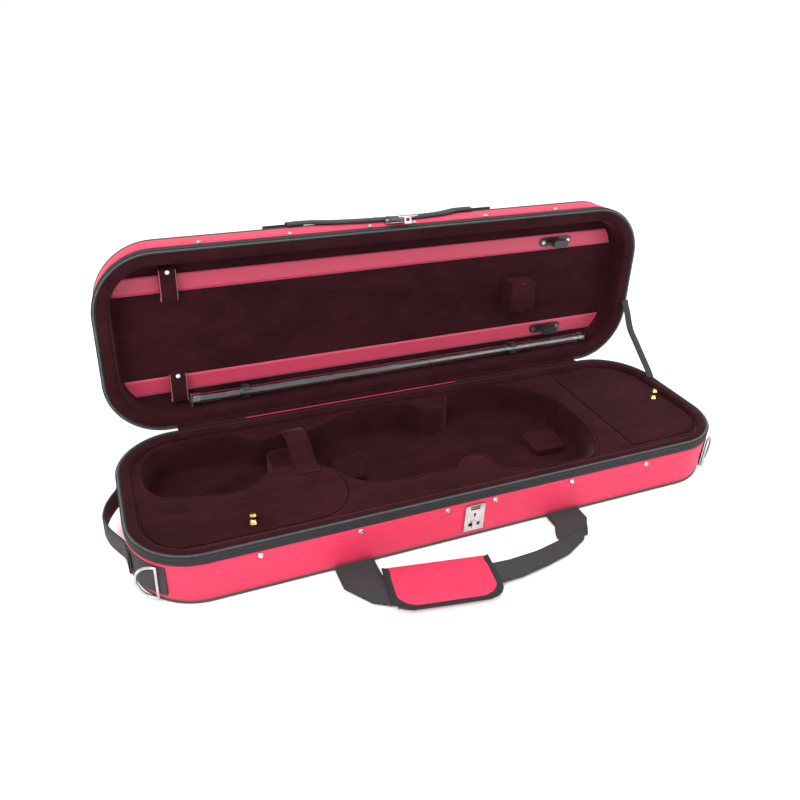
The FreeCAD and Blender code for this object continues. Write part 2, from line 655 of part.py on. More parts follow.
def make_lid_stay():
    """Webbing stay from the base's rim to the lid's rim, hanging a little slack."""
    head = opened(Part.Vertex(stay_x, 28, parting)).Point
    centre = [Vec(stay_x, 40, parting + 0.1), Vec(stay_x, 66, 92), Vec(stay_x, 106, 124),
              Vec(stay_x, 120, 148), Vec(stay_x, head.y - 0.9, head.z)]
    under = [centre[0] + Vec(0, 2.2, 0), centre[1] + Vec(0, 0.9, -1.1), centre[2] + Vec(0, 1.1, -0.9),
             centre[3] + Vec(0, 1.3, -0.6), centre[4] - Vec(0, 0, 3)]
    curves = []
    for points in (centre, under):
        line = Part.BSplineCurve()
        line.interpolate(points)
        curves.append(line.toShape())
    caps = [Part.makeLine(centre[k], under[k]) for k in (0, -1)]
    face = Part.Face(Part.Wire(Part.__sortEdges__(curves + caps)))
    save("lid_stay", face.extrude(Vec(stay_width, 0, 0)))


# ================================================================= everything
make_base()
make_insert()
make_neck_strap()
make_pocket_lids()
make_lock()
save("base_rivets", *[rivet(fittings_x + side * x, 50.5) for side in (-1, 1) for x in rivet_x])
save_lid("lid_rivets", *[rivet(fittings_x + side * x, parting + 17.0) for side in (-1, 1) for x in rivet_x])
make_ring_tabs()
make_end_handle()
make_carry_handle()
make_hinge()
make_zip_sliders()
make_lid()
make_ribbons()
make_tip_holders()
make_spinners()
make_frog_block()
make_string_tube()
make_hasp()
make_lid_handle()
make_music_pocket()
make_lid_stay()
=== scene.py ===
# %% [markdown]
# # An oblong violin case, standing open
# The case is a shallow box and its lid, each a thin stiff shell dressed in cloth. This lesson dresses the packed
# CAD frame piece by piece: red woven cloth outside, velvet inside, black tape along the rims, then the straps.
# All drawing is done in millimetres, with the lid shut, and turned into metres in one place.

# %% Load the frame
import json
import math

import bmesh
import bpy
import numpy as np
from mathutils import Matrix, Vector
from mathutils.geometry import delaunay_2d_cdt

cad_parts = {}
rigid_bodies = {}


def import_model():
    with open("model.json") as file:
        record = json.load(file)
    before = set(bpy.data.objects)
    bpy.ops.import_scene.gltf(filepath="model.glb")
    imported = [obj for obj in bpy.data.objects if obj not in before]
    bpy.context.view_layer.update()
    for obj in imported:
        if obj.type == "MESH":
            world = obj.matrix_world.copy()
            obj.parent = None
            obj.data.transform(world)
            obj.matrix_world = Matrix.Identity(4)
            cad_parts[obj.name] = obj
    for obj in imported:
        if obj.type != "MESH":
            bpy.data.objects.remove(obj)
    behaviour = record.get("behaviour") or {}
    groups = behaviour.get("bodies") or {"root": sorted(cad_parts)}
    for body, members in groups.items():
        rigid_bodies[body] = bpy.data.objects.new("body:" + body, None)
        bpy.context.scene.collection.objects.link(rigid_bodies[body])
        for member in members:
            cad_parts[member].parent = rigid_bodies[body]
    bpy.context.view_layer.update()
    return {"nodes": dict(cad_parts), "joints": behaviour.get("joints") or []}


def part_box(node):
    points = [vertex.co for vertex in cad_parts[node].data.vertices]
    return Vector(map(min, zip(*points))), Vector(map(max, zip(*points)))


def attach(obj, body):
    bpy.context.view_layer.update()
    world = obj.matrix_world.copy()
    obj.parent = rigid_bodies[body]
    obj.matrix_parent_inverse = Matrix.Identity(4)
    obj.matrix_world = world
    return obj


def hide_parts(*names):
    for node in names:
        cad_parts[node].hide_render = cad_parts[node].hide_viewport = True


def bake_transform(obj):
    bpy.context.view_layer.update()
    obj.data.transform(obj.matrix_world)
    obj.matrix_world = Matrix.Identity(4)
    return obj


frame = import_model()

# %% [markdown]
# ## The sizes that everything hangs on
# The zip band is the outermost skin of the rim, so its box gives the case's length and width and the parting
# plane. The lid's hinge line and how far it opens come from the joint. Every lid piece is drawn shut and then
# swung by the same turn, which keeps the drawing simple: shut, the lid is just a second tray upside down.

# %% Sizes
MM = 0.001
TAPE_PROUD = 0.6            # the rim tape stands this far out of the walls
HALF_GAP = 0.3              # half the gap between the two rims
LID_DEPTH = 51
band_box = [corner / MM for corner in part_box("base_zip_band")]
HALF_LENGTH, HALF_WIDTH = band_box[1].x - TAPE_PROUD, band_box[1].y - TAPE_PROUD
PARTING = band_box[1].z + HALF_GAP
LID_TOP = PARTING + LID_DEPTH
CORNER = 80.0
END_DRAFT = 5.0
DECK = 61.5
BED = 12.0                  # floor of the violin well
lid_hinge = next(joint for joint in frame["joints"] if joint["name"] == "lid_hinge")
HINGE_Y, HINGE_Z = (value / MM for value in lid_hinge["pos_m"][1:])
OPEN = math.radians(lid_hinge["range_deg"][1])
print("half length %.1f, half width %.1f, parting plane %.1f mm" % (HALF_LENGTH, HALF_WIDTH, PARTING))


# %% [markdown]
# ## From a grid of points to a piece
# A surface here is a function of two parameters, worked out for all its points at once, so it arrives as a grid:
# rows along one parameter, columns along the other. One helper turns such a grid into a mesh with faces, and lays
# a map on it that is measured in metres along the surface, so that a weave keeps its true thread size.

# %% Helpers for meshes
def swing(points):
    """Open the lid: a turn about the hinge line, y and z mixed by the cosine and sine of the opening angle."""
    c, s = math.cos(-OPEN), math.sin(-OPEN)
    y, z = points[..., 1] - HINGE_Y, points[..., 2] - HINGE_Z
    return np.stack([points[..., 0], HINGE_Y + y * c - z * s, HINGE_Z + y * s + z * c], -1)


def facing(mesh, want):
    """Turn all faces over if they don't face up, down, in or out; closed means out by the sign of the volume."""
    centre = np.empty(len(mesh.polygons) * 3)
    normal = np.empty(len(mesh.polygons) * 3)
    area = np.empty(len(mesh.polygons))
    mesh.polygons.foreach_get("center", centre)
    mesh.polygons.foreach_get("normal", normal)
    mesh.polygons.foreach_get("area", area)
    centre, normal = centre.reshape(-1, 3), normal.reshape(-1, 3)
    if want in ("up", "down"):
        side = (normal[:, 2] * area).sum() * (1 if want == "up" else -1)
    else:
        reference = centre - (0 if want == "closed" else np.average(centre, axis=0, weights=area))
        side = ((reference * normal).sum(1) * area).sum() * (-1 if want == "in" else 1)
    if side < 0:
        mesh.flip_normals()


def piece(name, points, faces, want, uv=None, lid=False, merge=0.0, smooth=True):
    """One finished object: points in millimetres to metres, faces turned the right way, cloth map laid on."""
    points = np.asarray(points, float).reshape(-1, 3)
    mesh = bpy.data.meshes.new(name)
    mesh.from_pydata((points * MM).tolist(), [], faces.tolist() if isinstance(faces, np.ndarray) else faces)
    if uv is not None:
        layer = mesh.uv_layers.new(name="cloth")
        layer.data.foreach_set("uv", (np.asarray(uv, float).reshape(-1, 2) * MM).ravel())
    if merge:
        work = bmesh.new()
        work.from_mesh(mesh)
        bmesh.ops.remove_doubles(work, verts=work.verts, dist=merge * MM)
        work.to_mesh(mesh)
        work.free()
    facing(mesh, want)
    mesh.polygons.foreach_set("use_smooth", [smooth] * len(mesh.polygons))
    if lid:
        co = np.empty(len(mesh.vertices) * 3)
        mesh.vertices.foreach_get("co", co)
        mesh.vertices.foreach_set("co", (swing(co.reshape(-1, 3) / MM) * MM).ravel())
    mesh.update()
    made = bpy.data.objects.new(name, mesh)
    bpy.context.scene.collection.objects.link(made)
    return made


def lengths(points, axis, closed):
    """Distance walked along a grid's axis, averaged over the other axis."""
    step = np.diff(np.concatenate([points, np.take(points, [0], axis)], axis) if closed else points, axis=axis)
    walked = np.linalg.norm(step, axis=-1).mean(1 - axis)
    return np.concatenate([[0], np.cumsum(walked)])


def grid_faces(points, close_u, close_v):
    """Quads between neighbours of a grid, wrapping round where an axis is closed, and their map coordinates."""
    nu, nv = points.shape[:2]
    u, v = np.meshgrid(np.arange(nu if close_u else nu - 1), np.arange(nv if close_v else nv - 1), indexing="ij")
    corner_u = np.stack([u, u + 1, u + 1, u], -1).reshape(-1, 4)
    corner_v = np.stack([v, v, v + 1, v + 1], -1).reshape(-1, 4)
    along, across = lengths(points, 0, close_u), lengths(points, 1, close_v)
    uv = np.stack([along[corner_u], across[corner_v]], -1)
    return (corner_u % nu) * nv + corner_v % nv, uv


def grid_piece(name, points, want, close_u=False, close_v=False, lid=False, merge=0.0, caps=False):
    """A grid as a piece; caps close the two ends of a tube with one face each."""
    faces, uv = grid_faces(points, close_u, close_v)
    faces, uv = faces.tolist(), uv.reshape(-1, 2).tolist()
    if caps:
        nu, nv = points.shape[:2]
        faces += [list(range(nv))[::-1], [(nu - 1) * nv + k for k in range(nv)]]
        uv += [[0.0, float(k)] for k in range(nv)] * 2
    return piece(name, points, faces, want, uv, lid, merge)


def ripple(points, size, height):
    """Soft unevenness: a sum of five sines in different directions, wave length about size, in millimetres."""
    total = np.zeros(points.shape[:-1])
    for k in range(5):
        direction = np.array([math.cos(2.4 * k), math.sin(2.4 * k), math.cos(1.7 * k + 1)])
        total += np.sin(points @ direction * (2 * math.pi / (size * (1 + 0.37 * k))) + 1.9 * k)
    return height * total / 5


print("helpers ready")

# %% [markdown]
# ## The case's own outline
# Seen from above the case is a long rectangle with quarter-circle corners. A walk round it is stored as four
# numbers for each step: which corner's centre the step belongs to (sliding from one to the next on the straights)
# and the direction that faces outwards there. Any inset and any height can then be had from one formula.

# %% The outline
PIPING_RADIUS, TOOTH_PITCH = 2.1, 2.0
CORNER_STEPS, LONG_STEPS, SHORT_STEPS = 16, 84, 12
walk = []
for turn, (a, b, steps) in enumerate((((1, -1), (1, 1), SHORT_STEPS), ((1, 1), (-1, 1), LONG_STEPS),
                                      ((-1, 1), (-1, -1), SHORT_STEPS), ((-1, -1), (1, -1), LONG_STEPS))):
    t = np.arange(steps) / steps
    angle = math.radians(90 * turn)
    straight = [a[0] + (b[0] - a[0]) * t, a[1] + (b[1] - a[1]) * t, np.full(steps, angle)]
    bend = angle + np.arange(CORNER_STEPS) / CORNER_STEPS * math.pi / 2
    walk.append(np.stack(straight, 1))
    walk.append(np.stack([np.full(CORNER_STEPS, b[0]), np.full(CORNER_STEPS, b[1]), bend], 1))
walk = np.concatenate(walk).astype(float)


def outline(inset, z):
    """Outline points at one or many heights: corner centre plus (corner radius - inset) along the outward
    direction; the ends lean in by the draft in proportion to the distance from the parting plane."""
    inset, z = np.atleast_1d(np.asarray(inset, float)), np.atleast_1d(np.asarray(z, float))
    away = np.where(z < PARTING, (PARTING - z) / PARTING, (z - PARTING) / (LID_TOP - PARTING))
    out = np.stack([np.cos(walk[:, 2]), np.sin(walk[:, 2])], 1)
    x = walk[:, :1] * (HALF_LENGTH - CORNER - END_DRAFT * away) + (CORNER - inset) * out[:, :1]
    y = walk[:, 1:2] * (HALF_WIDTH - CORNER) + (CORNER - inset) * out[:, 1:2]
    return np.stack([x, y, np.broadcast_to(z, x.shape)], -1)


def carried(profile):
    """A profile of (inset, height) carried round the outline: a grid, steps of the walk by points of the profile."""
    profile = np.asarray(profile, float)
    return outline(profile[:, 0], profile[:, 1])


def lid_over(points, rows):
    """Close a tray: each end point of the profile runs straight to the nearest point of the middle line."""
    edge = points[:, -1]
    spine = HALF_LENGTH - HALF_WIDTH
    target = np.stack([np.clip(edge[:, 0], -spine, spine), 0 * edge[:, 1], edge[:, 2]], 1)
    t = (np.arange(1, rows + 1) / rows)[None, :, None]
    return np.concatenate([points, edge[:, None] * (1 - t) + target[:, None] * t], 1)


def round_profile(inset, z, radius, steps=12):
    """A circle as a closed profile."""
    t = np.arange(steps) / steps * 2 * math.pi
    return np.stack([inset + radius * np.cos(t), z + radius * np.sin(t)], 1)


print("the walk has", len(walk), "steps")

# %% [markdown]
# ## Shader groups
# Three effects come back in several materials: a plain weave, the ribs of webbing and the nap of velvet. Each is
# a node group that only works out numbers over the surface. The shader itself stays in the material, where a
# constant such as sheen is set straight on its socket.

# %% Group helpers
def new_group(name, inputs, outputs):
    """An empty shader group: inputs and outputs are (name, socket type, default) and (name, socket type)."""
    group = bpy.data.node_groups.new(name, "ShaderNodeTree")
    for label, kind, default in inputs:
        socket = group.interface.new_socket(label, in_out="INPUT", socket_type=kind)
        if default is not None:
            socket.default_value = default
    for label, kind in outputs:
        group.interface.new_socket(label, in_out="OUTPUT", socket_type=kind)
    return group, group.nodes.new("NodeGroupInput"), group.nodes.new("NodeGroupOutput")


def node(tree, kind, inputs=(), **settings):
    """Add a node, set its plain settings, and feed its inputs with values or with other nodes' sockets."""
    made = tree.nodes.new(kind)
    for key, value in settings.items():
        setattr(made, key, value)
    for key, value in dict(inputs).items():
        if isinstance(value, bpy.types.NodeSocket):
            tree.links.new(value, made.inputs[key])
        else:
            made.inputs[key].default_value = value
    return made


def maths(tree, operation, *values):
    """One maths node, returning its output socket."""
    return node(tree, "ShaderNodeMath", enumerate(values), operation=operation).outputs[0]


# %% Weave, ribs and nap
FLOAT, VECTOR = "NodeSocketFloat", "NodeSocketVector"
weave, weave_in, weave_out = new_group(
    "plain_weave", [("Vector", VECTOR, None), ("Threads per metre", FLOAT, 1000.0)],
    [("Height", FLOAT), ("Shade", FLOAT)])
split = node(weave, "ShaderNodeSeparateXYZ", {0: weave_in.outputs["Vector"]})
waves = []
for axis in "XY":
    turns = maths(weave, "MULTIPLY", split.outputs[axis], weave_in.outputs["Threads per metre"])
    waves.append(maths(weave, "SINE", maths(weave, "MULTIPLY", turns, math.pi)))
over = maths(weave, "MULTIPLY", waves[0], waves[1])
weave.links.new(maths(weave, "MULTIPLY_ADD", over, 0.5, 0.5), weave_out.inputs["Height"])
slub = node(weave, "ShaderNodeTexNoise", {"Vector": weave_in.outputs["Vector"], "Scale": 90.0, "Detail": 3.0})
weave.links.new(maths(weave, "MULTIPLY_ADD", maths(weave, "ABSOLUTE", over), 0.55,
                      maths(weave, "MULTIPLY", slub.outputs["Fac"], 0.45)), weave_out.inputs["Shade"])

ribs, ribs_in, ribs_out = new_group(
    "webbing_ribs", [("Vector", VECTOR, None), ("Ribs per metre", FLOAT, 450.0)],
    [("Height", FLOAT), ("Shade", FLOAT)])
split = node(ribs, "ShaderNodeSeparateXYZ", {0: ribs_in.outputs["Vector"]})
along = maths(ribs, "MULTIPLY", split.outputs["X"], ribs_in.outputs["Ribs per metre"])
across = maths(ribs, "MULTIPLY", split.outputs["Y"], ribs_in.outputs["Ribs per metre"])
step = maths(ribs, "MULTIPLY", maths(ribs, "FLOOR", across), 0.5)
rib = maths(ribs, "ABSOLUTE", maths(ribs, "SINE", maths(ribs, "MULTIPLY", maths(ribs, "ADD", along, step), math.pi)))
cord = maths(ribs, "ABSOLUTE", maths(ribs, "SINE", maths(ribs, "MULTIPLY", across, math.pi)))
height = maths(ribs, "MULTIPLY", maths(ribs, "POWER", rib, 0.6), maths(ribs, "MULTIPLY_ADD", cord, 0.4, 0.6))
ribs.links.new(height, ribs_out.inputs["Height"])
fuzz = node(ribs, "ShaderNodeTexNoise", {"Vector": ribs_in.outputs["Vector"], "Scale": 260.0, "Detail": 4.0})
ribs.links.new(maths(ribs, "MULTIPLY_ADD", height, 0.6, maths(ribs, "MULTIPLY", fuzz.outputs["Fac"], 0.4)),
               ribs_out.inputs["Shade"])

nap, nap_in, nap_out = new_group(
    "velvet_nap", [("Vector", VECTOR, None), ("Patch size", FLOAT, 14.0)], [("Lay", FLOAT), ("Height", FLOAT)])
stroke = node(nap, "ShaderNodeMapping", {"Vector": nap_in.outputs["Vector"], "Scale": (0.6, 1.3, 1.0)})
patch = node(nap, "ShaderNodeTexNoise", {"Vector": stroke.outputs[0], "Scale": nap_in.outputs["Patch size"],
                                         "Detail": 9.0, "Roughness": 0.78, "Distortion": 0.4})
pile = node(nap, "ShaderNodeTexNoise", {"Vector": nap_in.outputs["Vector"], "Scale": 1500.0, "Detail": 2.0})
lay = node(nap, "ShaderNodeMapRange", {"Value": patch.outputs["Fac"], "From Min": 0.15, "From Max": 0.85})
fine = maths(nap, "MULTIPLY", pile.outputs["Fac"], 0.2)
nap.links.new(maths(nap, "MULTIPLY_ADD", lay.outputs["Result"], 0.8, fine), nap_out.inputs["Lay"])
nap.links.new(maths(nap, "MULTIPLY_ADD", patch.outputs["Fac"], 0.6, pile.outputs["Fac"]), nap_out.inputs["Height"])
print("groups:", sorted(g.name for g in bpy.data.node_groups))

# %% [markdown]
# ## Materials
# Woven cloth and webbing follow the map on the piece, so the threads run with the strip they belong to. Velvet,
# metal and plastic have no direction that the eye can follow, so they read the object's own coordinates.

# %% Material helpers
def new_material(name, **shader):
    """A material whose Principled shader has these constants set straight on its sockets."""
    material = bpy.data.materials.new(name)
    material.use_nodes = True
    tree = material.node_tree
    principled = tree.nodes["Principled BSDF"]
    for label, value in shader.items():
        principled.inputs[label.replace("_", " ")].default_value = value
    return material, tree, principled


def ramp(tree, factor, dark, light, low=0.0, high=1.0):
    """Two colours mixed by a factor."""
    made = node(tree, "ShaderNodeValToRGB", {"Fac": factor})
    made.color_ramp.elements[0].position, made.color_ramp.elements[1].position = low, high
    made.color_ramp.elements[0].color, made.color_ramp.elements[1].color = (*dark, 1), (*light, 1)
    return made.outputs["Color"]


def bump(tree, principled, height, distance, strength=1.0):
    """Feed a height to the shader's normal; distance is how deep it is, in metres."""
    made = node(tree, "ShaderNodeBump", {"Height": height, "Distance": distance, "Strength": strength})
    tree.links.new(made.outputs["Normal"], principled.inputs["Normal"])


def patterned(name, group, inputs, dark, light, depth, uses_map=True, rough=(0.7, 0.9), **shader):
    """A fibre material: a group's shade colours it, and its height roughens and dents it."""
    material, tree, principled = new_material(name, **shader)
    if uses_map:
        vector = node(tree, "ShaderNodeUVMap", uv_map="cloth").outputs["UV"]
    else:
        vector = node(tree, "ShaderNodeTexCoord").outputs["Object"]
    made = node(tree, "ShaderNodeGroup", node_tree=group)
    tree.links.new(vector, made.inputs["Vector"])
    for label, value in inputs.items():
        made.inputs[label].default_value = value
    shade = made.outputs[1] if "Shade" in made.outputs else made.outputs["Lay"]
    tree.links.new(ramp(tree, shade, dark, light, 0.15, 0.85), principled.inputs["Base Color"])
    spread = node(tree, "ShaderNodeMapRange", {"Value": shade, "To Min": rough[1], "To Max": rough[0]})
    tree.links.new(spread.outputs["Result"], principled.inputs["Roughness"])
    bump(tree, principled, made.outputs["Height"], depth)
    return material


def plain(name, dark, light, rough, scale, depth, **shader):
    """A hard material: fine mottling in colour and roughness, with faint scratches in the normal."""
    material, tree, principled = new_material(name, **shader)
    place = node(tree, "ShaderNodeTexCoord").outputs["Object"]
    grain = node(tree, "ShaderNodeTexNoise", {"Vector": place, "Scale": scale, "Detail": 5.0, "Roughness": 0.6})
    drawn = node(tree, "ShaderNodeMapping", {"Vector": place, "Scale": (1.0, 1.0, 14.0)})
    streak = node(tree, "ShaderNodeTexNoise", {"Vector": drawn.outputs[0], "Scale": scale * 2, "Detail": 3.0})
    tree.links.new(ramp(tree, grain.outputs["Fac"], dark, light, 0.3, 0.7), principled.inputs["Base Color"])
    spread = node(tree, "ShaderNodeMapRange", {"Value": streak.outputs["Fac"], "From Min": 0.3, "From Max": 0.7,
                                               "To Min": rough[0], "To Max": rough[1]})
    tree.links.new(spread.outputs["Result"], principled.inputs["Roughness"])
    bump(tree, principled, streak.outputs["Fac"], depth)
    return material


# %% The materials
red_cloth = patterned("red woven cloth", weave, {"Threads per metre": 1150.0}, (0.52, 0.008, 0.050),
                      (0.72, 0.024, 0.095), 0.00022, rough=(0.55, 0.75), Sheen_Weight=0.08, Sheen_Roughness=0.4)
black_tape = patterned("black tape", ribs, {"Ribs per metre": 900.0}, (0.004, 0.004, 0.0045),
                        (0.024, 0.024, 0.026), 0.0003, Sheen_Weight=0.04, Specular_IOR_Level=0.25)
webbing = patterned("black webbing", ribs, {"Ribs per metre": 420.0}, (0.003, 0.003, 0.0035),
                    (0.050, 0.050, 0.054), 0.0011, Sheen_Weight=0.05, Specular_IOR_Level=0.3)
velvet = patterned("burgundy velvet", nap, {"Patch size": 16.0}, (0.0060, 0.0010, 0.0016), (0.043, 0.0080, 0.012),
                   0.00018, uses_map=False, rough=(0.85, 1.0), Sheen_Weight=0.20, Sheen_Roughness=0.35,
                   Sheen_Tint=(0.75, 0.28, 0.34, 1.0), Specular_IOR_Level=0.08)
satin = patterned("satin ribbon", ribs, {"Ribs per metre": 1500.0}, (0.34, 0.016, 0.050), (0.50, 0.030, 0.085),
                  0.00006, rough=(0.34, 0.46), Sheen_Weight=0.3, Anisotropic=0.5)
piping = patterned("black piping", ribs, {"Ribs per metre": 1200.0}, (0.010, 0.010, 0.011), (0.03, 0.03, 0.033),
                   0.00015, rough=(0.4, 0.6))
chrome = plain("polished chrome", (0.30, 0.30, 0.31), (0.62, 0.62, 0.63), (0.05, 0.16), 60, 0.00001, Metallic=1.0)
nickel = plain("plated steel", (0.38, 0.37, 0.36), (0.62, 0.61, 0.58), (0.16, 0.34), 120, 0.00002, Metallic=1.0)
brass = plain("polished brass", (0.72, 0.46, 0.12), (0.90, 0.64, 0.22), (0.08, 0.22), 160, 0.00002, Metallic=1.0)
plastic = plain("black plastic", (0.010, 0.010, 0.011), (0.022, 0.022, 0.024), (0.25, 0.42), 300, 0.00003)
clear = plain("clear tube", (0.93, 0.95, 0.97), (0.98, 0.99, 1.0), (0.01, 0.04), 80, 0.00001,
              Transmission_Weight=1.0, IOR=1.45)
board = plain("thin plywood", (0.44, 0.31, 0.19), (0.60, 0.45, 0.28), (0.6, 0.8), 40, 0.0002)
# Near-black, for painted shade: the sheet behind the lock plate's slots.
painted_shade_black = plain("painted shade black", (0.004, 0.004, 0.004), (0.010, 0.010, 0.010), (0.8, 0.9), 90, 0.0001)
print(len(bpy.data.materials), "materials")


def dress(made, material, body, replaces=(), blend=None):
    """Give a new piece its material and the body it rides on, and hide the CAD nodes it stands for; with blend it is
    baked in place on no body.
    """
    made.data.materials.clear()
    made.data.materials.append(material)
    if replaces:
        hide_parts(*replaces)
    if blend:
        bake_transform(made)
    else:
        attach(made, body)
    return made


def thicken(made, millimetres, offset=-1.0):
    """Give a sheet its thickness, away from the side that is seen."""
    solid = made.modifiers.new("thickness", "SOLIDIFY")
    solid.thickness = millimetres * MM
    solid.offset = offset
    return made


# %% [markdown]
# ## The base's outside
# Red cloth is glued round the walls and turned under. A black cord, the piping, covers the joint with the
# underside. Each of these is one profile carried round the outline, like a picture-frame moulding.

# %% Cloth, underside, piping
cover_profile = [(0, 3.6), (-0.15, 12), (-0.3, 22), (-0.35, 35), (-0.3, 41.5), (-0.2, 50.5),
                 (0, 56.6), (1.4, 56.6), (1.4, 50.5), (1.4, 41.5), (1.4, 3.6)]
cover = carried(cover_profile)
base_cloth = grid_piece("base_cloth", cover, "closed", True, True)
work = bmesh.new()
work.from_mesh(base_cloth.data)
slot_faces = [f for f in work.faces if f.calc_center_median().y < -0.12 and abs(f.calc_center_median().x) < 0.008
              and 0.0415 < f.calc_center_median().z < 0.0505]
bmesh.ops.delete(work, geom=slot_faces, context="FACES")
bmesh.ops.bridge_loops(work, edges=[e for e in work.edges if e.is_boundary])
work.to_mesh(base_cloth.data)
work.free()
dress(base_cloth, red_cloth, "base", ["base_cover"])
bottom = lid_over(carried([(2.6, 0.35), (5, 0.2)]), 10)
underside = dress(grid_piece("underside_cloth", bottom, "down", True, merge=0.01), red_cloth, "base",
                  ["base_underside"])
thicken(underside, 1.4)
dress(grid_piece("base_piping_cord", carried(round_profile(1.0, PIPING_RADIUS, PIPING_RADIUS)), "closed", True, True),
      piping, "base", ["base_piping"])
print("base walls:", len(base_cloth.data.polygons), "faces")

# %% [markdown]
# ## The zip band
# A woven tape is sewn round both rims, with the zip's two rows of teeth between them. The tape has a stitched
# groove near its edge. The teeth are tiny blocks, one every two millimetres: a single six-faced block is placed
# along the outline with array arithmetic, so a thousand of them cost only a few faces each.

# %% Tape and teeth
band_profile = np.array([(-0.5, 56.3), (-0.62, 57), (-0.62, 62.4), (-0.1, 63), (-0.58, 63.6), (-0.58, 67.2),
                         (-0.1, 68.0), (1.0, 68.2), (4.9, 68.2), (4.95, 66.4), (1.5, 66.3), (1.4, 56.5)])
dress(grid_piece("base_zip_tape", carried(band_profile), "closed", True, True), black_tape, "base",
      ["base_zip_band"])
lid_band_profile = band_profile * (1, -1) + (0, 2 * PARTING)
dress(grid_piece("lid_zip_tape", carried(lid_band_profile), "closed", True, True, lid=True), black_tape,
      "lid", ["lid_zip_band"])
TOOTH = np.array([(i, j, k) for i in (-0.5, 0.5) for j in (-0.5, 0.5) for k in (0, 1)]) * (1.1, 1.9, 0.75)
TOOTH_FACES = np.array([(0, 1, 3, 2), (4, 6, 7, 5), (0, 4, 5, 1), (2, 3, 7, 6), (0, 2, 6, 4), (1, 5, 7, 3)])


def teeth(name, inset, z, rise, lid):
    """Blocks at equal steps along the outline: each block's length runs across the tape, its width along it."""
    path = outline(inset, z)[:, 0]
    path = np.concatenate([path, path[:1]])
    walked = np.concatenate([[0], np.cumsum(np.linalg.norm(np.diff(path, axis=0), axis=1))])
    at = np.arange(0, walked[-1] - 1, TOOTH_PITCH)
    middle = np.stack([np.interp(at, walked, path[:, k]) for k in range(3)], 1)
    along = np.stack([np.interp(at + 0.5, walked, path[:, k]) for k in range(3)], 1) - middle
    along /= np.linalg.norm(along, axis=1)[:, None]
    across = np.stack([along[:, 1], -along[:, 0], 0 * at], 1)
    up = np.array([0, 0, rise])
    points = (middle[:, None] + along[:, None] * TOOTH[None, :, :1] + across[:, None] * TOOTH[None, :, 1:2]
              + up * TOOTH[None, :, 2:])
    faces = (TOOTH_FACES[None] + 8 * np.arange(len(at))[:, None, None]).reshape(-1, 4)
    return piece(name, points, faces, "closed", None, lid, smooth=False)


zip_coil = plain("zip coil", (0.05, 0.05, 0.053), (0.17, 0.17, 0.18), (0.35, 0.55), 500, 0.00002)
base_teeth = dress(teeth("base_zip_teeth", 1.9, 68.15, 0.7, False), zip_coil, "base")
dress(teeth("lid_zip_teeth", 1.9, 2 * PARTING - 68.15, -0.7, True), zip_coil, "lid")
print("teeth:", len(base_teeth.data.polygons) // 6, "on each rim")

# %% [markdown]
# ## The velvet lip
# Inside the tape, velvet is rolled over a soft edge and tucked down behind the insert. It is padded, so the
# profile is full and rounded instead of a board's sharp corner.

# %% Lip of the base
lip_profile = [(5.05, 66.3), (5.2, 67.4), (6.2, 68.0), (9, 68.35), (12, 68.2), (14.6, 67.4), (15.9, 65.6),
               (16.3, 63.4), (16.1, 61.8), (15.2, 60.8), (9.7, 60.8), (9.6, 66.2)]
base_lip = dress(grid_piece("base_velvet_lip", carried(lip_profile), "closed", True, True), velvet, "base",
                 ["base_lip"])
print("lip rises to %.1f mm" % (max(v.co.z for v in base_lip.data.vertices) / MM))

# %% [markdown]
# ## The insert
# A foam deck fills the base, with a well cut to the violin's shape and two boxes for small things. Velvet covers
# all of it, and a line is sewn a few millimetres from the well's edge, so the edge reads as a plump roll. The deck
# is a flat region with holes, which a constrained triangulation fills; the walls are profiles carried round
# each hole's loop.

# %% Loops of the insert
well_corners = np.array([
    (-386, 49), (-367, -2), (-341, -8), (-300, -18), (-270, -22), (-250, -16), (-232, 3), (-217, 11), (-185, 12),
    (-154, -2), (-135, -36), (-109, -58), (-68, -65), (-37, -61), (2, -66), (11, -62), (15, -53), (23, -46),
    (38, -44), (52, -47), (59, -56), (62, -88), (110, -96), (164, -101), (193, -97), (206, -84), (220, -58),
    (229, -25), (230, 13), (225, 46), (212, 70), (192, 94), (160, 109), (115, 111), (72, 109), (68, 88), (57, 78),
    (42, 76), (28, 78), (17, 87), (12, 106), (-20, 108), (-62, 111), (-100, 104), (-128, 87), (-150, 80),
    (-185, 81), (-226, 78), (-242, 96), (-261, 106), (-303, 106), (-347, 100), (-361, 98)], float)


def even(loop, step):
    """Walk a closed loop in equal steps."""
    closed = np.concatenate([loop, loop[:1]])
    walked = np.concatenate([[0], np.cumsum(np.linalg.norm(np.diff(closed, axis=0), axis=1))])
    at = np.linspace(0, walked[-1], int(walked[-1] / step), endpoint=False)
    return np.stack([np.interp(at, walked, closed[:, k]) for k in range(2)], 1)


def rounded(loop, rounds):
    """Cut every corner at a quarter and three quarters of its sides, several times over."""
    for _ in range(rounds):
        after = np.roll(loop, -1, 0)
        loop = np.stack([0.75 * loop + 0.25 * after, 0.25 * loop + 0.75 * after], 1).reshape(-1, 2)
    return loop


def outward(loop):
    """Unit normals of a counter-clockwise loop, from the chord between each point's neighbours."""
    chord = np.roll(loop, -1, 0) - np.roll(loop, 1, 0)
    normal = np.stack([chord[:, 1], -chord[:, 0]], 1)
    return normal / np.linalg.norm(normal, axis=1)[:, None]


def walls(loop, profile):
    """A profile of (distance outwards, height) carried round a loop."""
    profile = np.asarray(profile, float)
    normal = outward(loop)
    flat = loop[:, None] + normal[:, None] * profile[None, :, :1]
    flat[..., 1] = np.clip(flat[..., 1], -117.4, 117.4)
    return np.concatenate([flat, np.broadcast_to(profile[None, :, 1:], (*flat.shape[:2], 1))], -1)


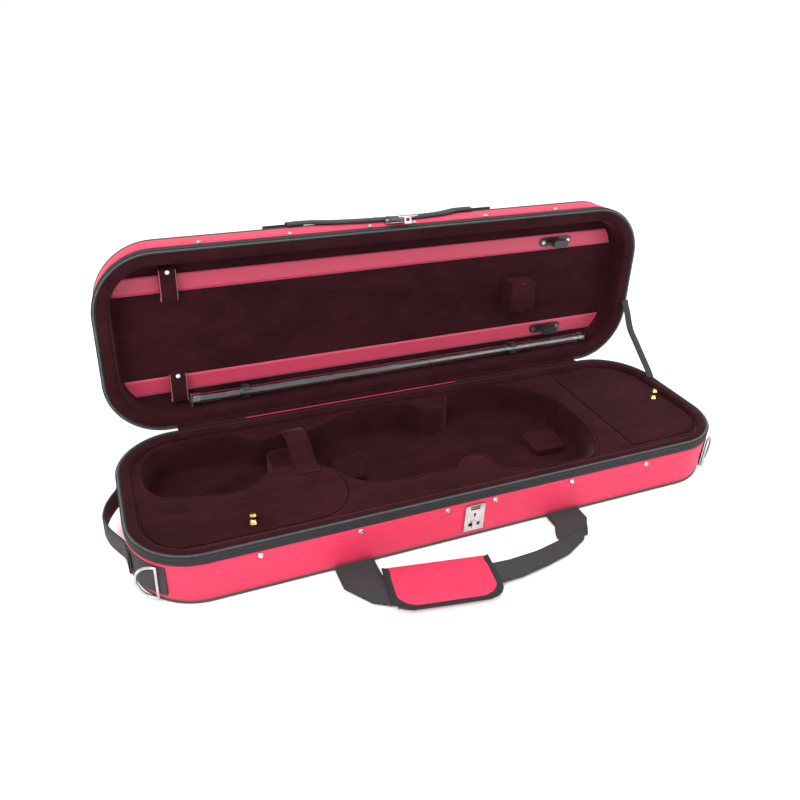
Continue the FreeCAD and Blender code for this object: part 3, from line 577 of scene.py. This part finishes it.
def left_board(inset):
    """The left pocket's lid: a straight hinge edge at the back, quarter-ellipse ends towards the front."""
    x0, x1, y0, y1 = -388 + inset, -142 - inset, -101 + inset, -39 - inset
    a = np.radians(np.arange(0, 91, 7.5))
    right = np.stack([x1 - 46 * (1 - np.cos(a)), y0 + (y1 - 8 - y0) * (1 - np.sin(a))], 1)
    left = np.stack([x0 + 46 * (1 - np.cos(a[::-1])), y0 + (y1 - 8 - y0) * (1 - np.sin(a[::-1]))], 1)
    return np.concatenate([[(x1, y1)], right, left, [(x0, y1)]])[::-1]


def right_board(inset):
    """The right pocket's lid: a straight hinge edge, and outer corners that follow the case's own."""
    x0, x1, y0, y1 = 260 + inset, 392 - inset, -97 + inset, 105 - inset
    a = np.radians(np.arange(0, 91, 7.5))
    front, back = 44 - inset, 62 - inset
    low = np.stack([x1 - front + front * np.sin(a), y0 + front - front * np.cos(a)], 1)
    high = np.stack([x1 - back + back * np.cos(a), y1 - back + back * np.sin(a)], 1)
    return np.concatenate([[(x0, y1), (x0, y0)], low, high])


well_loop = even(rounded(well_corners, 2), 5.0)
left_loop, right_loop = even(left_board(-0.8), 6.0), even(right_board(-0.8), 6.0)
print("well loop has", len(well_loop), "points")


# %% Deck, wells and pocket boxes
def inside(points, loop):
    """True where a point is inside a loop: an odd number of the loop's edges cross the ray to its right."""
    a, b = loop, np.roll(loop, -1, 0)
    px, py = points[:, None, 0], points[:, None, 1]
    spans = (a[:, 1] > py) != (b[:, 1] > py)
    rise = np.where(b[:, 1] == a[:, 1], 1.0, b[:, 1] - a[:, 1])
    crossing = a[:, 0] + (py - a[:, 1]) / rise * (b[:, 0] - a[:, 0])
    return (spans & (px < crossing)).sum(1) % 2 == 1


def filled(outer, holes, spacing):
    """Triangles that fill the outer loop but not the holes, with points of a square grid in between."""
    loops = [outer, *holes]
    low, high = outer.min(0), outer.max(0)
    grid = np.stack(np.meshgrid(np.arange(low[0], high[0], spacing), np.arange(low[1], high[1], spacing)),
                    -1).reshape(-1, 2)
    keep = inside(grid, outer)
    for loop in loops:
        near = np.linalg.norm(grid[:, None] - loop[None], axis=2).min(1) < spacing * 0.55
        keep &= ~near
    for hole in holes:
        keep &= ~inside(grid, hole)
    points = np.concatenate([*loops, grid[keep]])
    edges, start = [], 0
    for loop in loops:
        index = np.arange(len(loop)) + start
        edges += np.stack([index, np.roll(index, -1)], 1).tolist()
        start += len(loop)
    made = delaunay_2d_cdt([Vector(p) for p in points.tolist()], edges, [], 0, 1e-5)
    points = np.array([tuple(p) for p in made[0]])
    faces = np.array([f for f in made[2] if len(f) == 3])
    middle = points[faces].mean(1)
    keep = inside(middle, outer)
    for hole in holes:
        keep &= ~inside(middle, hole)
    return points, faces[keep]


ROLL = [(8.5, DECK), (7.0, DECK - 0.2), (6.1, DECK - 1.5), (5.2, DECK - 0.2), (3.8, DECK + 0.6), (2.2, DECK + 0.3),
        (1.1, DECK - 0.6), (0.3, DECK - 2.2), (0, DECK - 4.5), (-0.3, DECK - 14), (-0.4, 40), (-0.6, BED + 6),
        (-1.6, BED + 1.6), (-4, BED + 0.3)]
SEAT = [(4.5, DECK), (3.5, DECK - 0.1), (2.0, DECK - 0.2), (0.7, DECK - 0.7), (0, DECK - 1.6), (0, DECK - 3.3),
        (-8.8, DECK - 3.3), (-9.0, DECK - 5), (-9.2, BED + 2), (-11, BED + 0.4)]
vertices, triangles, count = [], [], 0
rims = []
for loop, profile in ((well_loop, ROLL), (left_loop, SEAT), (right_loop, SEAT)):
    grid = walls(loop, profile)
    faces, _ = grid_faces(grid, True, False)
    vertices.append(grid.reshape(-1, 3))
    quads = faces + count
    triangles += quads.tolist()
    count += grid.shape[0] * grid.shape[1]
    rims.append(grid[:, 0, :2])
    floor_points, floor_faces = filled(grid[:, -1, :2], [], 14.0)
    vertices.append(np.concatenate([floor_points, np.full((len(floor_points), 1), profile[-1][1])], 1))
    triangles += (floor_faces + count).tolist()
    count += len(floor_points)
edge = outline(12.5, DECK)[:, 0, :2]
deck_points, deck_faces = filled(edge, rims, 11.0)
deck_points = np.concatenate([deck_points, np.full((len(deck_points), 1), DECK)], 1)
clear_of_rims = np.min([np.linalg.norm(deck_points[:, None, :2] - rim[None], axis=2).min(1) for rim in rims], 0)
deck_points[:, 2] += ripple(deck_points, 90, 0.55) * np.clip(clear_of_rims / 8, 0, 1)
vertices.append(deck_points)
triangles += (deck_faces + count).tolist()
insert = piece("velvet_insert", np.concatenate(vertices), triangles, "up", None, merge=0.02)
work = bmesh.new()
work.from_mesh(insert.data)
bmesh.ops.recalc_face_normals(work, faces=work.faces)
work.to_mesh(insert.data)
work.free()
facing(insert.data, "up")
dress(insert, velvet, "base", ["padded_insert", "well_bed"])
print("insert:", len(insert.data.polygons), "faces")

# %% [markdown]
# ## Cushions
# The violin rests on small velvet pads, never on the floor of the well. A stuffed pad is a box blown full: the
# superellipsoid formula, the powers of sines and cosines, gives exactly that crowned, rounded block.


# %% Pads
def cushion(name, low, high, power=0.3, lid=False, top_power=None):
    """Superellipsoid: each coordinate is the signed power of a sphere's cosines and sines, scaled to the box."""
    low, high = np.array(low, float), np.array(high, float)
    u = np.linspace(-math.pi, math.pi, 64, endpoint=False)[:, None]
    v = np.linspace(-math.pi / 2, math.pi / 2, 28)[None]
    upright = power if top_power is None else top_power

    def signed(value, p):
        return np.sign(value) * np.abs(value) ** p

    unit = np.stack([signed(np.cos(v), upright) * signed(np.cos(u), power),
                     signed(np.cos(v), upright) * signed(np.sin(u), power), signed(np.sin(v), upright) + 0 * u], -1)
    grid = (low + high) / 2 + unit * (high - low) / 2
    return grid_piece(name, grid, "closed", True, False, lid, merge=0.01)


pad_left = dress(cushion("pad_upper_bout", (-128, 6, BED), (-88, 56, 24)), velvet, "base",
                 ["suspension_pads"])
pad_right = dress(cushion("pad_lower_bout", (160, -22, BED), (212, 26, 24)), velvet, "base")
rest_block = dress(cushion("neck_rest_block", (-214, 16, BED), (-176, 76, 44), 0.22), velvet, "base",
                   ["neck_rest"])
print("3 pads in the well")

# %% [markdown]
# ## The pocket lids
# Two thin boards in velvet close the pockets. Each is lifted by its round knob. The cloth is glued over the board
# and rolls over its edge, so rows of the outline shrink inwards while the height follows a rounded edge.


# %% Pocket lids
def covered_board(name, shape, body, node_name):
    """Rows from the bottom's middle out round the edge and back to the top's middle: outline(inset) at heights."""
    rows = [(8, DECK - 2.9), (1.2, DECK - 2.9), (0.3, DECK - 2.3), (0, DECK - 1.4), (0.3, DECK - 0.5),
            (1.2, DECK + 0.05), (2.6, DECK + 0.3), (5, DECK + 0.35)]
    grids = []
    count_points = len(even(shape(0.6), 4.0))
    for inset, z in rows:
        loop = shape(0.6 + inset)
        closed = np.concatenate([loop, loop[:1]])
        walked = np.concatenate([[0], np.cumsum(np.linalg.norm(np.diff(closed, axis=0), axis=1))])
        at = np.linspace(0, walked[-1], count_points, endpoint=False)
        flat = np.stack([np.interp(at, walked, closed[:, k]) for k in range(2)], 1)
        grids.append(np.concatenate([flat, np.full((count_points, 1), z)], 1))
    grid = np.stack(grids, 1)
    middle = grid[:, -1].mean(0)
    rings = [grid[:, -1] * (1 - t) + middle * t for t in np.linspace(0.08, 1, 12)]
    below = [grid[:, 0] * (1 - t) + (middle - (0, 0, 3.2)) * t for t in (1, 0.5)]
    grid = np.concatenate([np.stack(below, 1), grid, np.stack(rings, 1)], 1)
    grid[..., 2] += ripple(grid, 70, 0.25)
    made = grid_piece(name, grid, "closed", True, False, merge=0.02)
    return dress(made, velvet, body, [node_name])


covered_board("pocket_lid_left_velvet", left_board, "pocket_left", "pocket_lid_left")
covered_board("pocket_lid_right_velvet", right_board, "pocket_right", "pocket_lid_right")
print("pocket lids done")

# %% [markdown]
# ## Straps
# Straps, tabs and flaps are flat bands that follow a path. At each point of the path stand two arrows, one along
# the band's width and one through its thickness, and a rounded rectangle is drawn on them.


# %% Bands along a path
def band(name, path, width_way, width, thickness, lid=False, fine=None):
    """A rounded rectangle carried along a path; through = along x width, and the two ends are capped."""
    path = np.asarray(path, float)
    if fine:
        t = np.linspace(0, len(path) - 1, fine)
        k = np.clip(t.astype(int), 0, len(path) - 2)
        f = (t - k)[:, None]
        before, after = path[np.maximum(k - 1, 0)], path[np.minimum(k + 2, len(path) - 1)]
        a, b = path[k], path[k + 1]
        path = 0.5 * (2 * a + (b - before) * f + (2 * before - 5 * a + 4 * b - after) * f ** 2
                      + (3 * a - before - 3 * b + after) * f ** 3)
    along = np.gradient(path, axis=0)
    along /= np.linalg.norm(along, axis=1)[:, None]
    wide = np.broadcast_to(np.asarray(width_way, float), path.shape)
    wide = wide - (wide * along).sum(1)[:, None] * along
    wide = wide / np.linalg.norm(wide, axis=1)[:, None]
    through = np.cross(along, wide)
    w, h = width / 2, thickness / 2
    r = min(h * 0.8, 0.9)
    section = np.array([(-w + r, -h), (0, -h), (w - r, -h), (w, -h + r), (w, h - r), (w - r, h), (0, h), (-w + r, h),
                        (-w, h - r), (-w, -h + r)])
    grid = path[:, None] + wide[:, None] * section[None, :, :1] + through[:, None] * section[None, :, 1:]
    return grid_piece(name, grid, "closed", False, True, lid, caps=True)


neck_band = band("neck_velvet_strap", [(-179, 87, 62.6), (-179, 82, 64), (-179, 72, 72), (-179, 58, 77),
                                       (-179, 42, 77.5), (-179, 26, 73), (-179, 14, 65.5), (-179, 6, 63.2),
                                       (-179, -6, 63), (-179, -15, 63)], (1, 0, 0), 30, 2.6, fine=48)
dress(neck_band, velvet, "neck_strap", ["neck_strap"])
tabs = []
for side in (-1, 1):
    corner = np.radians(np.linspace(12, 56, 24)) if side > 0 else np.radians(np.linspace(168, 124, 24))
    centre = np.array([side * (HALF_LENGTH - CORNER - 2.2), -(HALF_WIDTH - CORNER)])
    flat = centre + (CORNER + 1.0) * np.stack([np.cos(corner), -np.sin(corner)], 1)
    path = np.concatenate([flat, np.full((24, 1), 32.0)], 1)
    tabs.append(band("d_ring_tab_%s" % ("left" if side < 0 else "right"), path, (0, 0, 1), 40, 2.2))
    dress(tabs[-1], webbing, "base", ["d_ring_tabs"] if side < 0 else ())
print("neck strap and", len(tabs), "ring tabs")

# %% [markdown]
# ## The end handle
# At the scroll end a short loop of webbing is riveted flat to the wall and stands off it in the middle, so that
# the case can be carried upright.

# %% End handle
handle_path = [(-407.5, -76, 34), (-408.3, -62, 34), (-410, -50, 34), (-416, -38, 34), (-424, -22, 34),
               (-428.6, -4, 34), (-428.8, 6, 34), (-424.5, 24, 34), (-416.5, 40, 34), (-410.5, 50, 34),
               (-408.6, 60, 34), (-407.8, 72, 34)]
end_loop = dress(band("end_handle_webbing", handle_path, (0, 0, 1), 27, 2.6, fine=60), webbing, "base",
                 ["end_handle"])
print("end handle stands off %.0f mm" % (-min(v.co.x for v in end_loop.data.vertices) / MM - HALF_LENGTH))


# %% [markdown]
# ## The carrying handle
# Two legs of webbing hang from the foot of the front wall. Their ends fold over and run into a soft grip, a cloth
# flap with a tape binding that wraps round both bands and closes with studs. It lies on the table, a bit skewed.

# %% Legs, links and grip
GRIP_AT, GRIP_TURN = np.array([-73.0, -194.0]), math.radians(-9)


def on_grip(points):
    """Turn grip coordinates by the grip's angle and move them to its place."""
    c, s = math.cos(GRIP_TURN), math.sin(GRIP_TURN)
    points = np.asarray(points, float)
    x, y = points[..., 0], points[..., 1]
    return np.stack([GRIP_AT[0] + x * c - y * s, GRIP_AT[1] + x * s + y * c, points[..., 2]], -1)


def ruled(name, edge_a, edge_b, thickness, steps=44):
    """A band between two edge curves: straight lines join points at equal shares of both."""
    def spread(edge):
        edge = np.asarray(edge, float)
        walked = np.concatenate([[0], np.cumsum(np.linalg.norm(np.diff(edge, axis=0), axis=1))])
        at = np.linspace(0, walked[-1], steps)
        return np.stack([np.interp(at, walked, edge[:, k]) for k in range(3)], 1)

    a, b = spread(edge_a), spread(edge_b)
    t = np.linspace(0, 1, 9)[None, :, None]
    grid = a[:, None] * (1 - t) + b[:, None] * t
    made = grid_piece(name, grid.transpose(1, 0, 2), "up")
    return thicken(made, thickness, 0.0)


LEG_START, LEG_END, FOLD_Z = -138 * MM, -156 * MM, 2.6 * MM


def anchored(x):
    """The part of a leg's edge that is sewn to the wall: it leaves the wall's foot and lies flat."""
    return [(x, -127.9, 3.2), (x, -136, 2.7), (x, -149, 2.6)]


left_leg = ruled("carry_leg_left",
                 anchored(-183) + [(-183, -161, 3.0), (-160, -192, 3.2), (-141, -204, 4.4), (-128, -209, 5.2)],
                 anchored(-134) + [(-134, -156, 3.2), (-133, -164, 4.6), (-131, -172, 5.2), (-122, -176, 5.4)], 2.2)
dress(left_leg, webbing, None, ["carry_anchors"],
      blend=("base", "carry_handle", (-158 * MM, LEG_START, FOLD_Z), (-158 * MM, LEG_END, FOLD_Z)))
right_leg = ruled("carry_leg_right", anchored(109) + [(103, -158, 2.8), (99, -168, 2.6), (103, -178, 2.6)],
                  anchored(158) + [(152, -157, 2.8), (147, -166, 2.6), (140, -176, 2.6)], 2.0)
dress(right_leg, webbing, None,
      blend=("base", "carry_handle", (134 * MM, LEG_START, FOLD_Z), (134 * MM, LEG_END, FOLD_Z)))
right_band = ruled("carry_band_right", [(-12, -184, 6.2), (20, -185.5, 5.6), (60, -183, 5.0), (100, -175, 4.6),
                                        (146, -164, 4.4)],
                   [(-18, -216, 6.2), (20, -214.5, 5.4), (60, -208, 4.8), (95, -200, 4.4), (128, -184, 4.4)], 2.2)
dress(right_band, webbing, "carry_handle", ["carry_strap"])
inner = on_grip(np.stack(np.meshgrid(np.linspace(-60, 60, 24), np.linspace(-24, 33, 14), [2.2]), -1)[:, :, 0])
inner_grip = thicken(grid_piece("grip_inner_cloth", inner, "up"), 2.2, 0.0)
dress(inner_grip, red_cloth, "carry_handle", ["carry_grip"])


def flap_surface(half_x, y0, y1, radius, lift, rows=26, columns=60):
    """A crowned flap: a grid whose corners at the front are pulled into quarter circles; the middle is lifted by
    the product of two cosines' powers, as padding does."""
    y = np.linspace(y1, y0, rows)
    over = np.clip((y0 + radius - y) / radius, 0, 1)
    half = half_x - radius * (1 - np.sqrt(1 - over ** 2))
    x = np.linspace(-1, 1, columns)[None] * half[:, None]
    crown = (1 - np.abs(x / half_x) ** 4) * (1 - np.abs((y - (y0 + y1) / 2) / ((y1 - y0) / 2)) ** 4)[:, None]
    return np.stack([x, np.broadcast_to(y[:, None], x.shape), lift[0] + lift[1] * crown], -1)


flap = flap_surface(65, -33, 33, 20, (8.6, 4.0))
dress(thicken(grid_piece("grip_flap_cloth", on_grip(flap), "up"), 2.0), red_cloth, "grip_flap",
      ["grip_flap"])
border = np.concatenate([flap[:, 0], flap[-1, 1:], flap[::-1, -1][1:]])
centre = np.array([0, -1, 0])
pull = centre - border
pull[:, 2] = 0
pull /= np.linalg.norm(pull, axis=1)[:, None]
binding_rows = [border - pull * 0.6 - (0, 0, 1.6), border - pull * 1.2 - (0, 0, 0.4), border - pull * 0.5 +
                (0, 0, 0.8), border + pull * 3.5 + (0, 0, 1.0), border + pull * 7.5 + (0, 0, 0.75)]
dress(thicken(grid_piece("grip_flap_binding", on_grip(np.stack(binding_rows, 1)), "up"), 0.8, 0.0),
      black_tape, "grip_flap")

# %% [markdown]
# ## The lid's outside and lining
# The lid is the same construction, upside down and swung open. Its lining is one long profile: over the rim,
# down the padded wall, and across the ceiling to the middle.

# %% Lid cloth, piping, lining
lid_cover = lid_over(carried([(1.4, 81.6), (0, 81.6), (-0.2, 92), (-0.2, 104), (0, 114.5), (0.9, 117.8), (3, 119.6),
                              (6, 119.9)]), 12)
lid_cover[..., 2] += ripple(lid_cover, 160, 0.3) * (lid_cover[..., 2] > 119.7)
dress(thicken(grid_piece("lid_cloth", lid_cover, "out", True, lid=True, merge=0.01), 1.0), red_cloth,
      "lid", ["lid_cover"])
dress(grid_piece("lid_piping_cord", carried(round_profile(1.2, 117.7, PIPING_RADIUS)), "closed", True, True,
                 lid=True), piping, "lid", ["lid_piping"])
lining = lid_over(carried([(5.05, 72.2), (5.2, 70.6), (6.4, 69.95), (9, 69.8), (12, 69.8), (15, 69.95),
                           (17.6, 70.5), (19.2, 71.8), (19.8, 75), (19.9, 82), (19.8, 90), (19.8, 97), (20.4, 101.5),
                           (22, 104), (25, 104.9)]), 22)
away_from_rim = np.clip((lining[..., 2] - 74) / 20, 0, 1)
lining[..., 2] -= np.abs(ripple(lining, 120, 0.8)) * (lining[..., 2] > 104.5)
lining[..., 1] += ripple(lining, 42, 0.9) * away_from_rim * (lining[..., 2] < 104)
lid_lining = dress(thicken(grid_piece("lid_velvet_lining", lining, "in", True, lid=True, merge=0.01), 1.4), velvet,
                   "lid", ["lid_lining"])
print("lining:", len(lid_lining.data.polygons), "faces")

# %% [markdown]
# ## Ribbons and bow holders
# Two satin ribbons are stretched along the lid. At one end each bow's tip slides under a stitched flap that snaps
# on a stud; at the other a turning bar holds the stick, with a velvet block between the two frogs.

# %% Ribbons
RIBBON_HALF = 12.3
for name, y in (("upper", -71.0), ("lower", 75.0)):
    x = np.linspace(-385, 385, 120)[:, None]
    across = np.linspace(-1, 1, 7)[None]
    level = 103.4 + 0.25 * np.sin(x / 55.0) * across
    strip = np.stack([x + 0 * across, y + RIBBON_HALF * across + 0 * x, level], -1)
    ribbon = grid_piece("satin_ribbon_" + name, strip, "down", lid=True)
    dress(thicken(ribbon, 0.5), satin, "lid", ["lid_ribbons"] if name == "upper" else ())
print("2 ribbons")

# %% Bow tip holders
HOLDER_X = -312.0
for name, y in (("upper", -70.0), ("lower", 78.0)):
    dress(cushion("tip_pad_" + name, (HOLDER_X - 10.8, y - 24, 99.8), (HOLDER_X + 10.8, y + 14, 103.6), 0.2,
                  lid=True), velvet, "lid", ["tip_pads"] if name == "upper" else ())
    dress(cushion("tip_post_" + name, (HOLDER_X - 7.5, y - 24.2, 91.8), (HOLDER_X + 7.5, y - 16.5, 101.5),
                  0.25, lid=True), velvet, "lid")
    flap_path = [(HOLDER_X, y + 18.6, 101.4), (HOLDER_X, y + 18.8, 97), (HOLDER_X, y + 17.6, 91.8),
                 (HOLDER_X, y + 10, 90.0), (HOLDER_X, y - 2, 89.8), (HOLDER_X, y - 14, 90.2), (HOLDER_X, y - 24, 90.8)]
    tip_flap = band("tip_flap_velvet_" + name, flap_path, (1, 0, 0), 21.6, 2.4, lid=True, fine=40)
    dress(tip_flap, velvet, "tip_flap_" + name, ["tip_flap_" + name])
    for side in (-1, 1):
        seam = [(p[0] + side * 10.2, p[1], p[2] - 0.4) for p in flap_path]
        dress(band("tip_flap_edge_%s_%s" % (name, "ab"[side > 0]), seam, (1, 0, 0), 1.6, 2.4, lid=True, fine=40),
              satin, "tip_flap_" + name)
    u = np.linspace(0, 2 * math.pi, 28, endpoint=False)[:, None]
    t = np.linspace(0, math.pi / 2, 8)[None]
    dome = np.stack([HOLDER_X + 3.0 * np.cos(u) * np.cos(t), y - 20.5 + 3.0 * np.sin(u) * np.cos(t),
                     89.4 - 1.7 * np.sin(t) + 0 * u], -1)
    stud = grid_piece("tip_stud_" + name, dome, "down", True, lid=True, merge=0.001)
    pearl = bpy.data.materials.get("pearl stud") or plain("pearl stud", (0.72, 0.70, 0.66), (0.88, 0.86, 0.82),
                                                          (0.15, 0.3), 200, 0.00001, Coat_Weight=0.6)
    dress(stud, pearl, "tip_flap_" + name)
print("tip holders done")

# %% Frog block
frog = dress(cushion("frog_block_velvet", (192, -19, 73.8), (234, 27, 104.5), 0.16, lid=True), velvet, "lid",
             ["frog_block"])
piped = np.array([(193.4, -17.6), (232.6, -17.6), (232.6, 25.6), (193.4, 25.6)], float)
piped = even(rounded(piped, 3), 2.0)
turn = np.arange(8) / 8 * 2 * math.pi
normal = outward(piped)
tube = np.concatenate([piped[:, None] + normal[:, None] * np.cos(turn)[None, :, None] * 0.9,
                       np.broadcast_to(75.6 + 0.9 * np.sin(turn)[None, :, None], (len(piped), 8, 1))], -1)
dress(grid_piece("frog_block_piping", tube, "closed", True, True, lid=True), satin, "lid")
print("frog block piped along", len(piped), "points")

# %% [markdown]
# ## Handle, pocket and stay of the lid
# A soft strap lies along the lid's front wall. On the lid's outer face a flat zipped pocket takes sheet music. A
# webbing stay keeps the lid from falling back; it is baked in place as drawn, on neither body.

# %% Lid handle and anchors
LID_HANDLE = [(-146, 1), (-130, 3), (-108, 1), (-84, -6), (-40, -12), (0, -14), (45, -14), (80, -10), (100, -3),
              (112, 1), (136, 1)]
front = -HALF_WIDTH - 3.4
strap_path = [(x, front, LID_TOP + dz) for x, dz in LID_HANDLE]
dress(band("lid_handle_webbing", strap_path, (0, 0, 1), 14, 3.0, lid=True, fine=90), webbing,
      "lid_handle", ["lid_handle"])
for index, (x0, x1) in enumerate(((-178, -120), (108, 172))):
    middle = (x0 + x1) / 2
    patch = band("lid_strap_anchor_%d" % index, [(middle, -98, LID_TOP + 5.0), (middle, -106, LID_TOP + 6.6),
                                                 (middle, -116, LID_TOP + 7.4), (middle, -128, LID_TOP + 7.6)],
                 (1, 0, 0), x1 - x0, 2.4, lid=True, fine=16)
    dress(patch, webbing, "lid", ["lid_strap_anchors"] if index == 0 else ())
print("lid handle laid along", round(strap_path[-1][0] - strap_path[0][0]), "mm")

# %% Music pocket
u = np.linspace(-math.pi, math.pi, 140, endpoint=False)[:, None]
v = np.linspace(0, 1, 16)[None]
shrink = np.sin(v * math.pi / 2)
edge_x = np.sign(np.cos(u)) * np.abs(np.cos(u)) ** 0.28 * 340
edge_y = np.sign(np.sin(u)) * np.abs(np.sin(u)) ** 0.4 * 108 - 4
rise = 3.9 * (1 - shrink ** 14)
pocket = np.stack([edge_x * shrink, (edge_y + 4) * shrink - 4, LID_TOP - 0.1 + rise + 0 * u], -1)
pocket[..., 2] += ripple(pocket, 150, 0.35) * (1 - shrink ** 8)
music = dress(thicken(grid_piece("music_pocket_cloth", pocket, "up", True, lid=True, merge=0.01), 1.2), red_cloth,
              "lid", ["music_pocket"])
zip_path = [(x, -117.3, LID_TOP + 1.2) for x in np.linspace(-300, 300, 60)]
dress(band("music_zip_tape", zip_path, (0, 1, 0), 9, 1.4, lid=True), black_tape, "lid",
      ["music_zip"])
print("music pocket", len(music.data.polygons), "faces")

# %% Stay and hinge cloth
stay_path = np.array([(403, 40.5, 69.4), (403, 52, 80), (403, 66.5, 91.6), (403, 88, 109), (403, 106, 124),
                      (403, 120.4, 147.5), (403, 128, 158), (403, 131.4, 165)])
stay = band("lid_stay_webbing", stay_path, (1, 0, 0), 12, 1.6, fine=70)
dress(stay, webbing, None, ["lid_stay"],
      blend=("base", "lid", (403 * MM, 44 * MM, 72 * MM), (403 * MM, 131 * MM, 164 * MM)))


def across_hinge(name, rows, half_length, steps, thickness, want):
    """A strip along the hinge: the same line of (y, z) points at equal steps of x from end to end."""
    x = np.linspace(-half_length, half_length, steps)[:, None]
    rows = np.array(rows, float)[None]
    grid = np.stack([x + 0 * rows[..., 0], 0 * x + rows[..., 0], 0 * x + rows[..., 1]], -1)
    return thicken(grid_piece(name, grid, want), thickness, 0.0)


hinge_cloth = across_hinge("hinge_cloth", [(128.1, 36), (128.3, 48), (128.3, 58), (128.2, 62), (128.4, 65),
                                           (129.0, 66.2), (130.5, 66.0), (134, 65.6), (142, 65.3), (160.5, 64.7)],
                           317, 90, 0.8, "out")
dress(hinge_cloth, black_tape, None, ["hinge_band_base", "hinge_band_lid", "hinge_cord"],
      blend=("base", "lid", (0, 128.3 * MM, 64 * MM), (0, 131 * MM, 66.2 * MM)))
hinge_velvet = across_hinge("hinge_velvet", [(121.4, 68.35), (122.4, 68.78), (124.5, 68.85), (126.6, 68.85),
                                             (128.0, 68.3), (129.4, 67.7), (130.6, 67.9), (131.12, 68.6),
                                             (131.18, 70.0), (131.25, 71.4), (131.6, 72.6), (132.0, 73.6)],
                            322, 130, 0.3, "up")
dress(hinge_velvet, velvet, None,
      blend=("base", "lid", (0, 127.2 * MM, 68.6 * MM), (0, 131 * MM, 68.6 * MM)))
welt_path = [(t, 126.5, 69.06) for t in np.linspace(-230, 100, 40)]
dress(band("hinge_red_welt", welt_path, (0, 1, 0), 1.6, 0.45), red_cloth, "base")

# %% [markdown]
# ## Metal and plastic
# The small hard parts keep their CAD meshes, whose edges are exact, and only get their finishes here. Behind the
# slots of the lock's plate a near-black sheet paints the shade of the lock's recess.

# %% Finishes of the hard parts
FINISHES = {
    "lock_plate": chrome, "lock_button": chrome, "hasp_plate": chrome, "hasp_leaf": chrome, "d_ring_left": nickel,
    "d_ring_right": nickel, "base_rivets": nickel, "lid_rivets": nickel, "spinner_screws": nickel,
    "zip_sliders": nickel, "zip_pull_left": nickel, "zip_pull_right": nickel, "music_slider_left": nickel,
    "music_slider_right": nickel, "pocket_knob_left": brass, "pocket_knob_right": brass, "spinner_plates": plastic,
    "spinner_knob_upper": plastic, "spinner_knob_lower": plastic, "tube_clips": plastic, "tube_cap_left": clear,
    "tube_cap_right": clear, "string_tube": clear, "base_shell": board, "lid_shell": board}
# Painted shade: a near-black sheet behind the lock plate's slots makes them read as a dark recess.
tray = band("lock_dark_tray", [(-12.6, -127.7, 26), (0, -127.7, 26), (12.6, -127.7, 26)], (0, 0, 1), 28,
            0.35)
dress(tray, painted_shade_black, "base")
for name, finish in FINISHES.items():
    hard = frame["nodes"][name]
    for target in [hard, *hard.children_recursive]:
        if target.type == "MESH":
            target.data.materials.clear()
            target.data.materials.append(finish)
print(len(FINISHES), "CAD nodes finished")

# %% [markdown]
# ## Floor, light and camera
# A plain white floor and a white surround, with one large soft lamp from the upper left and a weak fill, give the
# even light of a product picture with only a soft contact shadow.

# %% Floor and lights
floor_mesh = bpy.data.meshes.new("floor")
floor_mesh.from_pydata([(x, y, -0.0005) for x, y in ((-40, -40), (40, -40), (40, 40), (-40, 40))], [], [(0, 1, 2, 3)])
floor_plane = bpy.data.objects.new("floor", floor_mesh)
bpy.context.scene.collection.objects.link(floor_plane)
floor_material, _, _ = new_material("white floor", Base_Color=(0.97, 0.97, 0.97, 1), Roughness=0.7)
floor_mesh.materials.append(floor_material)


def lamp(name, place, target, size, power):
    """A square area lamp looking at a target."""
    data = bpy.data.lights.new(name, "AREA")
    data.size, data.energy = size, power
    made = bpy.data.objects.new(name, data)
    bpy.context.scene.collection.objects.link(made)
    turn = (Vector(target) - Vector(place)).to_track_quat("-Z", "Y").to_matrix().to_4x4()
    made.matrix_world = Matrix.Translation(place) @ turn


lamp("key", (-1.3, -1.2, 1.7), (0, 0, 0.1), 1.2, 38)
lamp("fill", (1.6, -1.5, 1.0), (0, 0, 0.1), 1.6, 14)
lamp("top", (0.0, 0.4, 2.1), (0, 0, 0.1), 1.8, 18)
world = bpy.data.worlds.new("white room")
world.use_nodes = True
world.node_tree.nodes["Background"].inputs["Color"].default_value = (1, 1, 1, 1)
world.node_tree.nodes["Background"].inputs["Strength"].default_value = 1.04
bpy.context.scene.world = world
bpy.context.scene.view_settings.view_transform = "Standard"

# %% Camera
AZIMUTH, ELEVATION, ROLL_ANGLE = (math.radians(a) for a in (-21.96, 27.39, 1.86))
back = Vector((math.sin(AZIMUTH) * math.cos(ELEVATION), -math.cos(AZIMUTH) * math.cos(ELEVATION),
               math.sin(ELEVATION)))
right = Vector((math.cos(AZIMUTH), math.sin(AZIMUTH), 0))
up = back.cross(right)
right, up = (right * math.cos(ROLL_ANGLE) + up * math.sin(ROLL_ANGLE),
             up * math.cos(ROLL_ANGLE) - right * math.sin(ROLL_ANGLE))
place = Vector((-0.09777, 0, 0.21591)) + back * 0.90695
camera_data = bpy.data.cameras.new("camera")
camera_data.lens, camera_data.sensor_width = 33.246, 36.0
camera_data.shift_x, camera_data.shift_y = 0.03946, -0.06112
camera = bpy.data.objects.new("camera", camera_data)
bpy.context.scene.collection.objects.link(camera)
camera.matrix_world = Matrix(((right.x, up.x, back.x, place.x), (right.y, up.y, back.y, place.y),
                              (right.z, up.z, back.z, place.z), (0, 0, 0, 1)))
bpy.context.scene.camera = camera
print("camera at", [round(v, 3) for v in place])
